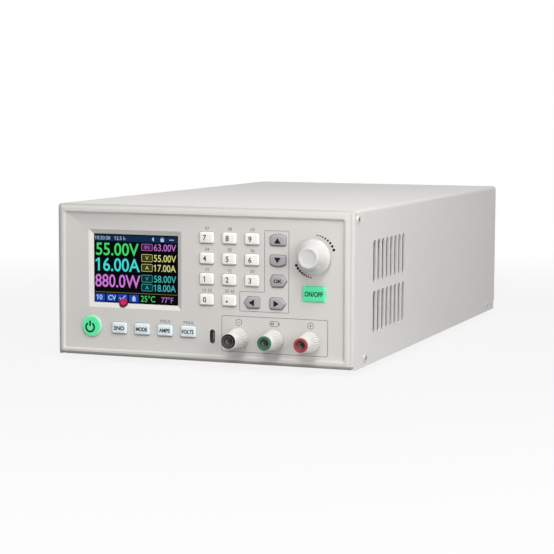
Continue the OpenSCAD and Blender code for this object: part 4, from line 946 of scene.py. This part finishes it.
# %% The screws of the cover and of the back
side = [(5.9, 77.2, 2.9), (18.7, 4.4, 4.2), (282.5, 4.4, 4.2)]
walls = [((x, y, z), way, n) for y, z, n in side for x, way in ((0, "-x"), (CASE_W, "+x"))]
screws = piece("cover_screw_set", [screw_shell(at, way, 2.4, 0.9, 1.4, n) for at, way, n in walls], 50)
join(screws, plated("dull_zinc", (0.60, 0.59, 0.57), 0.55), "case", "cover_screws")
REAR_Y, REAR_Z, FAN_X, INLET_X = 300.5, 41.0, 46.0, 128.0
fan_corners = [(FAN_X + sx * 25, REAR_Y + 1.6, REAR_Z + sz * 25) for sx in (-1, 1) for sz in (-1, 1)]
inlet_ears = [(INLET_X + sx * 20, REAR_Y + 2.5, REAR_Z) for sx in (-1, 1)]
heads = [screw_shell(at, "+y", 3.2, 2.2, 1.9, 10) for at in fan_corners]
heads += [screw_shell(at, "+y", 2.4, 0.9, 1.4, 6) for at in inlet_ears]
join(piece("rear_screw_set", heads, 50), "nickel", "case", "rear_screws")
# Dark plates nearly fill the sockets as painted shade.
shade_plates = [socket_shell(at, way, 0.66) for at, way, _ in walls]
shade_plates += [socket_shell(at, "+y", 1.7) for at in fan_corners]
shade_plates += [socket_shell(at, "+y", 0.66) for at in inlet_ears]
shadow = grained("socket_painted_shade", (0.012, 0.012, 0.013), 0.6, 0.4, 0.01, 2.0, 0.2)
join(piece("screw_socket_shade", shade_plates, 30), shadow, "case")
print("screws", len(walls) + len(heads))

# %% [markdown]
# ## Data port
#
# The port stands behind an upright slot with round ends. Its shell is folded sheet round a dark hollow with a
# thin tongue, its plating darkened as painted shade, and a black sleeve with a back plate lines the slot as
# painted shade, so the opening looks dark from every side.


# %% The port and its sleeve
def tube(outer, inner, front, back):
    """A ring with a hollow: the outer outline and the inner one, each at the front and at the back."""
    rings = [(outer, front), (inner, front), (inner, back), (outer, back), (outer, front)]
    return grid_shell(np.stack([at_depth(o, y) for o, y in rings]))


at = (CASE_W * 0.53521, CASE_H * 0.16951)
port = [tube(rounded(2.1, 6.3, 0.7) + at, rounded(1.8, 6.0, 0.55) + at, 3.1, 4.12),
        slab(rounded(0.55, 4.2, 0.1) + at, 3.3, 4.0), slab(rounded(3.0, 7.8, 0.7) + at, 4.2, 11.4)]
# The port's dim plating and the black sleeve are painted shade in the slot.
join(piece("usb_port_shell", port, 30), plated("port_plate_shaded", (0.30, 0.29, 0.28), 0.5), "case", "usb_port")
sleeve = [tube(rounded(2.96, 7.36, 1.475) + at, rounded(2.7, 7.1, 1.345) + at, 1.62, 4.15),
          slab(rounded(2.6, 7.0, 1.25) + at, 3.9, 4.15)]
slot_shade = grained("port_slot_shade", (0.060, 0.055, 0.050), 0.5, 0.3, 0.004, 3.0, 0.15)
join(piece("usb_port_shade_sleeve", sleeve, 30), slot_shade, "case")
print("port at", np.round(at, 2))

# %% [markdown]
# ## Printing
#
# The marks on the panel are silk-screened. Lettering is set in Blender's own font, made a mesh, measured, and
# only then laid on its place: on the flat face, or on a key's crown, where each point's depth comes from the
# crown's formula. A Shrinkwrap modifier could lay it on as well, but it would need a target for every key.
# Only digits, units and everyday signs are used.

# %% Inks
INK = 0.03


def ink(name, colour, rough=0.5):
    """A dull print whose tone goes from 90 to 115 percent of the colour, after a fine noise."""
    f = Finish(name, Specular_IOR_Level=0.15)
    wear = f.noise(0.35, 3.0)
    return f.set(Base_Color=f.mix(wear, shade(colour, 0.9), shade(colour, 1.15)), Roughness=rough + wear * 0.12)


grey_ink, label_ink = ink("print_grey", (0.12, 0.12, 0.125)), ink("print_label", (0.16, 0.16, 0.165))
black_ink, digit_ink = ink("print_black", (0.010, 0.010, 0.011), 0.4), ink("print_digit", (0.035, 0.035, 0.04))
dark_green_ink = ink("print_dark_green", (0.002, 0.024, 0.012))
print("ink is", INK, "mm thick")


# %% Flat meshes for ink
def flagged(flat, faces):
    """Blender's figure one is a bare bar. Faces whose widths overlap belong to one figure, so a narrow and tall
    group is a one, and it gets a short slanted flag at the top left."""
    spans = sorted((flat[f, 0].min(), flat[f, 0].max(), flat[f, 1].min(), flat[f, 1].max()) for f in faces)
    groups = []
    for span in spans:
        if groups and span[0] < groups[-1][1] + 0.005:
            last = groups[-1]
            groups[-1] = (last[0], max(last[1], span[1]), min(last[2], span[2]), max(last[3], span[3]))
        else:
            groups.append(span)
    for x0, x1, z0, z1 in groups:
        if x1 - x0 < 0.2 and z1 - z0 > 0.55:
            flag = [(x0 + 0.01, z1), (x0 - 0.15, z1 - 0.13), (x0 - 0.15, z1 - 0.24), (x0 + 0.01, z1 - 0.12)]
            faces.append(list(range(len(flat), len(flat) + 4)))
            flat = np.concatenate([flat, flag])
    return flat, faces


def finer(flat, faces, step=0.5):
    """Cuts a flat mesh into triangles and halves every edge longer than step, so that it can follow a crown."""
    work = bmesh.new()
    corners = [work.verts.new((x, z, 0)) for x, z in flat]
    for face in faces:
        work.faces.new([corners[v] for v in face])
    bmesh.ops.triangulate(work, faces=work.faces)
    for _ in range(4):
        long_edges = [e for e in work.edges if e.calc_length() > step]
        if long_edges:
            bmesh.ops.subdivide_edges(work, edges=long_edges, cuts=1, use_grid_fill=False)
            bmesh.ops.triangulate(work, faces=[f for f in work.faces if len(f.verts) > 3])
    work.verts.index_update()
    flat = np.array([v.co[:2] for v in work.verts])
    faces = [[v.index for v in f.verts] for f in work.faces]
    work.free()
    return flat, faces


def extruded(flat, faces, front, back):
    """A flat mesh given a front and a back depth, with walls along its open edges."""
    n = len(flat)
    pairs = np.concatenate([np.stack([f, np.roll(f, -1)], -1) for f in faces])
    unique, count = np.unique(np.sort(pairs, 1), axis=0, return_counts=True)
    border = {tuple(p) for p in unique[count == 1].tolist()}
    walls = [[a, b, b + n, a + n] for a, b in pairs.tolist() if (min(a, b), max(a, b)) in border]
    points = np.concatenate([at_depth(flat, front), at_depth(flat, back)])
    return points, faces + [[v + n for v in f[::-1]] for f in faces] + walls


print("a finer square has", len(finer([(0, 0), (1, 0), (1, 1), (0, 1)], [[0, 1, 2, 3]])[1]), "triangles")

# %% Lettering
FIGURE = 0.69


def letters(text, height, x, z, depth, wide=1.0, bold=0.0, top=None, align="CENTER", thick=INK):
    """Text as a shell. The digits' height, FIGURE in the font, is scaled to height, the widths by wide, and the
    middle comes to (x, z), or with LEFT the left end. depth is where the ink starts; top, if given, is a
    function of x and z that it follows."""
    curve = bpy.data.curves.new("lettering", "FONT")
    curve.body, curve.align_x, curve.align_y, curve.offset = text, align, "CENTER", bold
    curve.resolution_u = 4
    maker = bpy.data.objects.new("lettering", curve)
    bpy.context.scene.collection.objects.link(maker)
    mesh = bpy.data.meshes.new_from_object(maker)
    flat = np.empty(len(mesh.vertices) * 3)
    mesh.vertices.foreach_get("co", flat)
    flat = flat.reshape(-1, 3)[:, :2]
    faces = [list(p.vertices) for p in mesh.polygons]
    bpy.data.objects.remove(maker)
    bpy.data.curves.remove(curve)
    bpy.data.meshes.remove(mesh)
    low, high = flat.min(0), flat.max(0)
    middle = (low + high) / 2
    if align == "LEFT":
        middle[0] = low[0]
    if "1" in text and "I" not in text:
        flat, faces = flagged(flat, faces)
    scale = height / FIGURE
    flat = (flat - middle) * (scale * wide, scale) + (x, z)
    if top is not None:
        flat, faces = finer(flat, faces)
        depth = top(flat[:, 0], flat[:, 1])
    return extruded(flat, faces, depth - thick, depth)


print("a figure has", len(letters("8", 2.0, 0, 0, 0)[0]), "points")

# %% [markdown]
# A legend is a little left of the key's middle where the photograph has it so. The single digits are thin, and
# the words are set bolder, because a thin stroke would vanish at the photograph's size. The ring and the bar
# on the power button are the common sign for power.


# %% Legends on the keys
def on_key(name):
    """The crown of a key as a function of x and z on the case."""
    x, z, w, h = tops[name]
    return lambda px, pz: crown(px - x, pz - z, w, h) + 0.005


digits, words = (0.018, digit_ink), (0.036, black_ink)
legends = {f"key_{d}": (str(d), 2.75, 0.95, -0.8, *digits) for d in range(10)}
legends.update({
    "key_shift": ("2ND", 1.95, 1.12, 0.1, *words), "key_menu": ("MODE", 1.95, 0.83, 0.1, *words),
    "key_current": ("AMPS", 1.95, 0.90, 0.05, *words), "key_voltage": ("VOLTS", 1.95, 0.84, -0.05, *words),
    "key_enter": ("OK", 1.8, 1.15, 0, *words), "key_output": ("ON/OFF", 2.35, 0.80, 0, 0.03, dark_green_ink)})
for name, (text, height, wide, shift, bold, look) in legends.items():
    x, z = tops[name][:2]
    mark = piece(name + "_legend", [letters(text, height, x + shift, z, 0, wide, bold, on_key(name))], 30)
    join(mark, look, name)
print("legends", len(legends))

# %% Signs on the keys
triangle = np.array([[0, 1.75], [-1.95, -1.35], [1.95, -1.35]]) * 0.95
arrows = {"key_up": (0, 0, -0.5), "key_down": (180, 0, 0.55), "key_left": (90, 0.3, 0),
          "key_right": (-90, -0.7, 0)}
for name, (way, dx, dz) in arrows.items():
    x, z = tops[name][:2]
    c, s = math.cos(math.radians(way)), math.sin(math.radians(way))
    flat, faces = finer(triangle @ np.array([[c, s], [-s, c]]) + (x + dx, z + dz), [[0, 1, 2]])
    front = on_key(name)(flat[:, 0], flat[:, 1])
    join(piece(name + "_sign", [extruded(flat, faces, front - INK, front + 0.02)], 30), black_ink, name)
x, z = tops["key_dot"][:2]
flat = disc(x - 0.9, z - 0.5, 0.55, 24)
dot = extruded(flat, [list(range(24))], on_key("key_dot")(flat[:, 0], flat[:, 1]) - INK, 0.6)
join(piece("key_dot_sign", [dot], 30), black_ink, "key_dot")
x, z = BUTTON_X - 0.75, BUTTON_Z - 0.75
power = [ribbon(arc(x, z, 2.45, 122, 418, 41), 1.0, KEY_FRONT - INK, 0.42, False),
         slab(rounded(1.0, 2.9, 0.2) + (x, BUTTON_Z + 1.3), KEY_FRONT - INK, 0.42)]
join(piece("power_button_sign", power, 30), dark_green_ink, "power_button")
print("signs", len(arrows) + 2)

# %% [markdown]
# The face carries a frame round the arrow keys, one round the output posts, dots that grow round the knob to
# show which way is more, polarity signs over the posts, and small numbers over the keys for stored settings.

# %% Frames and signs on the face
PRINT = (FACE - INK, FACE + 0.01)
SIGN_Z = 22.1


def corners(points, r):
    """A closed outline whose corners are cut by short arcs: each corner is replaced by points on a parabola
    between the places r before and r after it."""
    p = np.asarray(points, float)
    before, after = np.roll(p, 1, 0) - p, np.roll(p, -1, 0) - p
    before *= r / np.linalg.norm(before, axis=1)[:, None]
    after *= r / np.linalg.norm(after, axis=1)[:, None]
    u = np.linspace(0, 1, 6)[None, :, None]
    return (p[:, None] + before[:, None] * (1 - u) ** 2 + after[:, None] * u ** 2).reshape(-1, 2)


arrow_frame = [(119.7, 70.5), (133.1, 70.5), (133.1, 28.1), (105.9, 28.1), (105.9, 38.4), (119.7, 38.4)]
post_frame = [(95.8, 6.5), (154.5, 6.5), (154.5, 25.3), (95.8, 25.3)]
lines = [ribbon(corners(arrow_frame, 0.5), 0.22, *PRINT), ribbon(corners(post_frame, 1.2), 0.24, *PRINT)]
for x in (POST_X[0], POST_X[2]):
    lines.append(ribbon(disc(x, SIGN_Z, 1.6, 32), 0.26, *PRINT))
    lines.append(slab(rounded(1.5, 0.28, 0.05, 3) + (x, SIGN_Z), *PRINT))
lines.append(slab(rounded(0.28, 1.5, 0.05, 3) + (POST_X[2], SIGN_Z), PRINT[0] - 0.005, PRINT[1]))
lines += [ribbon(rounded(4.8, 2.6, 0.6) + (125.1, SIGN_Z), 0.26, *PRINT),
          slab(rounded(0.45, 1.2, 0.1, 3) + (127.9, SIGN_Z), *PRINT)]
lines += [slab(rounded(0.6, 1.5, 0.1, 3) + (123.6 + i, SIGN_Z), *PRINT) for i in range(2)]
join(piece("face_lines", lines, 30), grey_ink, "case")
print("lines", len(lines))

# %% [markdown]
# The dots grow evenly, and the steps between them grow too: the angle goes with the power 1.35 of the dot's
# number, so the large ones keep clear of each other.

# %% Dots and small numbers
DOT_RING, DOTS = 11.05, 9
dots = []
for start, end in ((84, 20), (261, 206)):
    for i, a in enumerate(np.radians(start + (end - start) * np.linspace(0, 1, DOTS) ** 1.35)):
        dot = disc(KNOB_X + DOT_RING * math.cos(a), KNOB_Z + DOT_RING * math.sin(a), 0.27 + 0.062 * i, 20)
        dots.append(slab(dot, *PRINT))
join(piece("face_dots", dots, 30), black_ink, "case")
stored = [(f"0{n}", c, r) for n, c, r in (
    (7, 0, 3), (8, 1, 3), (9, 2, 3), (4, 0, 2), (5, 1, 2), (6, 2, 2), (1, 0, 1), (2, 1, 1), (3, 2, 1))]
stored += [("10 20", 0, 0), ("30 40", 1, 0)]
labels = [letters(text, 1.7, PAD_X[c] + 0.2, PAD_Z[r] + 4.85, FACE) for text, c, r in stored]
labels += [letters("MAX", 1.75, x, 20.5, FACE, 1.1) for x in (63.4, 76.9)]
join(piece("face_labels", labels, 30), label_ink, "case")
print("dots", len(dots), "labels", len(labels))

# %% [markdown]
# ## The screen
#
# The readout is drawn as thin lit shapes just in front of the dark glass. Every colour is one piece with its
# own finish: the light varies a little over the area, as a backlight does, and is kept at a level where the
# colours don't wash out. The small boxes carry plain letters and numbers.

# %% Lit colours
GLASS, LAYER = 3.1, 0.012


def lamp(name, colour):
    """Emission between 90 and 110 percent of the colour, after a soft noise; the surface itself is dark."""
    f = Finish(name, Emission_Strength=1.0, Specular_IOR_Level=0.02)
    back = f.noise(7.0, 2.0)
    f.set(Base_Color=f.mix(back, shade(colour, 0.04), shade(colour, 0.06)), Roughness=0.2 + back * 0.1)
    return f.set(Emission_Color=f.mix(back, shade(colour, 0.90), shade(colour, 1.10)))


def lit(name, shells, colour):
    """A group of lit shapes of one colour on the screen."""
    join(piece("screen_" + name, shells, 30), lamp("glow_" + name, colour), "case")


def on_glass(shape, *args, layer=2):
    """A slab or a ribbon on the glass; a higher layer comes a little further forward."""
    return shape(*args, GLASS - LAYER * layer, GLASS)


def bar(x0, x1, z0, z1, layer=1):
    """A lit rectangle on the glass."""
    return on_glass(slab, [(x0, z0), (x1, z0), (x1, z1), (x0, z1)], layer=layer)


def reading(text, height, x, z, wide, bold=0.02):
    """Text on the glass that starts at x."""
    return letters(text, height, x, z, GLASS, wide, bold, None, "LEFT", LAYER * 2)


print("screen", round(RIGHT - LEFT, 1), "by", round(UPPER - BOTTOM, 1))

# %% The large readings
lit("bar", [bar(LEFT + 0.5, RIGHT - 0.5, 62.1, 65.4)], (0.004, 0.022, 0.062))
lit("green", [reading("55.00V", 6.5, 21.8, 57.8, 0.96, 0.012), reading("25°C", 3.2, 48.3, 31.9, 0.9, 0.0)],
    (0.055, 0.62, 0.13))
lit("cyan", [reading("16.00A", 6.8, 22.9, 49.5, 0.93, 0.012)], (0.05, 0.66, 0.62))
lit("magenta", [reading("880.0W", 6.7, 21.3, 40.75, 0.845, 0.01)], (0.57, 0.17, 0.62))

# %% [markdown]
# A value that starts with a one begins a little further right, because the figure's flag is added after the
# text was measured and sticks out to the left. It is also set a little narrower, so that its line doesn't grow.

# %% The right column
BOX_X, BOX_W, VALUE_X = 51.95, 6.3, 56.0


def boxed(z, text, value, height):
    """One line of the right column: a thin rounded frame with a word in it, and the value beside it."""
    shift, wide = (0.6, 0.86) if value[0] == "1" else (0, 0.89)
    return [on_glass(ribbon, rounded(BOX_W, height, 0.5) + (BOX_X, z), 0.22, layer=1),
            letters(text, 1.9, BOX_X, z, GLASS, 1.1, thick=LAYER * 3),
            reading(value, 3.6, VALUE_X + shift, z, wide, 0.006)]


columns = {"violet": ((0.46, 0.16, 0.50), (0.055, 0.010, 0.065), [(59.45, "IN", "63.00V", 3.4)]),
           "yellow": ((0.62, 0.62, 0.22), (0.045, 0.043, 0.006),
                      [(53.7, "V", "55.00V", 3.8), (48.5, "A", "17.00A", 3.8)]),
           "teal": ((0.055, 0.42, 0.42), (0.002, 0.030, 0.033),
                    [(42.7, "V", "58.00V", 3.7), (37.9, "A", "18.00A", 3.6)])}
for name, (bright, dim, rows) in columns.items():
    shells = [shell for row in rows for shell in boxed(*row)]
    if name == "violet":
        shells.append(reading("77°F", 3.0, 60.3, 31.7, 0.9, 0.0))
    lit(name, shells, bright)
    half = BOX_W / 2 - 0.2
    boxes = [bar(BOX_X - half, BOX_X + half, z - h / 2 + 0.2, z + h / 2 - 0.2) for z, _, _, h in rows]
    lit(name + "_box", boxes, dim)
print("values in the right column", sum(len(rows) for _, _, rows in columns.values()))

# %% The top and the bottom row
lit("line", [bar(LEFT + 0.5, RIGHT - 0.5, 34.45, 34.65)], (0.25, 0.20, 0.045))
lit("blue", [bar(21.3 + 6.65 * i, 27.0 + 6.65 * i, 29.7, 33.7) for i in range(4)], (0.010, 0.055, 0.40))
clock = reading("10:20:30   12.5 h", 1.9, 21.6, 63.8, 0.98, 0.0)
speaker = on_glass(slab, arc(56.0, 63.8, 1.0, 90, 270, 13))
open_line = (GLASS - LAYER * 2, GLASS, False)
padlock = [bar(59.9, 61.9, 62.6, 64.2, 2), ribbon(arc(60.9, 64.2, 0.65, 0, 180, 9), 0.25, *open_line)]
dash = bar(65.0, 67.6, 63.5, 63.9, 2)
tick = ribbon([(35.6, 31.9), (36.9, 30.7), (39.2, 33.1)], 0.5, *open_line)
battery = [on_glass(slab, rounded(2.0, 2.4, 0.5) + (44.2, 31.4)), bar(43.7, 44.7, 32.5, 33.1, 2)]
modes = [reading("10", 2.5, 22.5, 31.7, 1.0), reading("CV", 2.5, 28.9, 31.7, 1.0)]
lit("white", [clock, *modes, speaker, *padlock, dash, tick, *battery], (0.42, 0.52, 0.72))

# %% [markdown]
# ## Studio
#
# The photograph's camera was worked out from the case's own corners, the screen's 4:3 window and the even
# pitches of keys, posts and vents, so it is written down as angles and a place in case millimetres. The lens
# follows from the focal length in pixels of a 554-pixel frame.

# %% Camera
FOCUS, PIXELS, SENSOR = 1703.63, 554, 36.0
AZIMUTH, ELEVATION, ROLL = math.radians(20.7729), math.radians(5.655), math.radians(0.2448)
back = np.array([math.sin(AZIMUTH) * math.cos(ELEVATION), -math.cos(AZIMUTH) * math.cos(ELEVATION),
                 math.sin(ELEVATION)])
side_way = np.cross([0, 0, 1], back)
side_way /= np.linalg.norm(side_way)
up_way = np.cross(back, side_way)
x_way = math.cos(ROLL) * side_way + math.sin(ROLL) * up_way
y_way = -math.sin(ROLL) * side_way + math.cos(ROLL) * up_way
eye = place((436.946, -816.643, 133.306))
camera = bpy.data.objects.new("camera", bpy.data.cameras.new("camera"))
camera.data.sensor_width, camera.data.lens = SENSOR, FOCUS / PIXELS * SENSOR
camera.data.clip_start, camera.data.clip_end = 0.05, 50.0
camera.matrix_world = Matrix([[x_way[i], y_way[i], back[i], eye[i]] for i in range(3)] + [[0, 0, 0, 1]])
bpy.context.scene.collection.objects.link(camera)
bpy.context.scene.camera = camera
print("lens", round(camera.data.lens, 1), "mm, eye", eye.round(3))

# %% [markdown]
# The floor and the world look white to the camera, to glossy rays and through glass, while their light on the
# object stays at a plain level. A brighter lamp could whiten the floor as well, but it would wash the case out.


# %% Floor and world
def white_to_camera(tree, plain, target, share=None):
    """Mixes a plain shader with a white glow of strength 1, which only camera, glossy and transmission rays
    see: the factor is the largest of the three rays' numbers, times the share of the glow, if one is given."""
    seen = tree.node("ShaderNodeLightPath", {}, {}, "Is Camera Ray")
    for ray in ("Glossy", "Transmission"):
        seen = seen.math("MAXIMUM", seen, tree.node("ShaderNodeLightPath", {}, {}, f"Is {ray} Ray"))
    if share is not None:
        seen = seen * share
    glow = tree.node("ShaderNodeEmission", {}, {"Strength": 1.0})
    mixed = tree.node("ShaderNodeMixShader", {}, {0: seen, 1: Value(tree, plain), 2: glow})
    tree.fill(target, mixed)


FLOOR_REACH, floor_z = 9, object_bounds()[0].z
mesh = bpy.data.meshes.new("floor")
mesh.from_pydata([(x * FLOOR_REACH, y * FLOOR_REACH, floor_z) for x, y in ((-1, -1), (1, -1), (1, 1), (-1, 1))],
                 [], [(0, 1, 2, 3)])
floor = bpy.data.objects.new("floor", mesh)
bpy.context.scene.collection.objects.link(floor)
ground = Finish("ground", Roughness=0.9)
ground.set(Base_Color=ground.mix(ground.noise(60.0), (0.44, 0.44, 0.44), (0.47, 0.47, 0.47)))
away = ground.node("ShaderNodeVectorMath", {"operation": "LENGTH"}, {0: ground.at}, "Value")
white_to_camera(ground, ground.shader.outputs[0], ground.tree.nodes["Material Output"].inputs["Surface"],
                ground.between(away, 0.2, 0.7, low=0.87))
mesh.materials.append(ground.material)
world = bpy.data.worlds.new("studio")
bpy.context.scene.world = world
world.use_nodes = True
sky = Tree(world.node_tree)
air = sky.tree.nodes["Background"]
air.inputs["Color"].default_value, air.inputs["Strength"].default_value = (1.0, 0.99, 0.98, 1), 0.25
white_to_camera(sky, air.outputs[0], sky.tree.nodes["World Output"].inputs["Surface"])
print("floor at", round(floor_z, 4))

# %% [markdown]
# A lamp from above, two from the right and a weak one from the left give the top, the face and the side their
# three tones. A low lamp at the left lights the left wall and the back a little; it stands clear of the place
# that the top mirrors to the camera.


# %% Lamps
def soft_lamp(name, at, aim, size, power):
    """A square area lamp at a place, turned to look at its aim."""
    data = bpy.data.lights.new(name, "AREA")
    data.size, data.energy = size, power
    thing = bpy.data.objects.new(name, data)
    way = Vector(at) - Vector(aim)
    thing.matrix_world = Matrix.Translation(at) @ way.to_track_quat("Z", "Y").to_matrix().to_4x4()
    bpy.context.scene.collection.objects.link(thing)


MIDDLE = (0.02, -0.1, 0.04)
soft_lamp("lamp_right", (0.58, -0.40, 0.22), MIDDLE, 0.3, 1.5)
soft_lamp("lamp_front", (0.75, -0.85, 0.40), MIDDLE, 0.3, 1.7)
soft_lamp("lamp_top", (0.20, -0.55, 0.75), MIDDLE, 0.4, 4.9)
soft_lamp("lamp_left", (-0.90, -1.20, 0.60), MIDDLE, 0.6, 0.7)
soft_lamp("lamp_low", (-1.00, 0.55, 0.05), (0.0, 0.1, 0.03), 0.4, 2.6)
bpy.context.scene.view_settings.view_transform = "Standard"
print("lamps", len(bpy.data.lights))
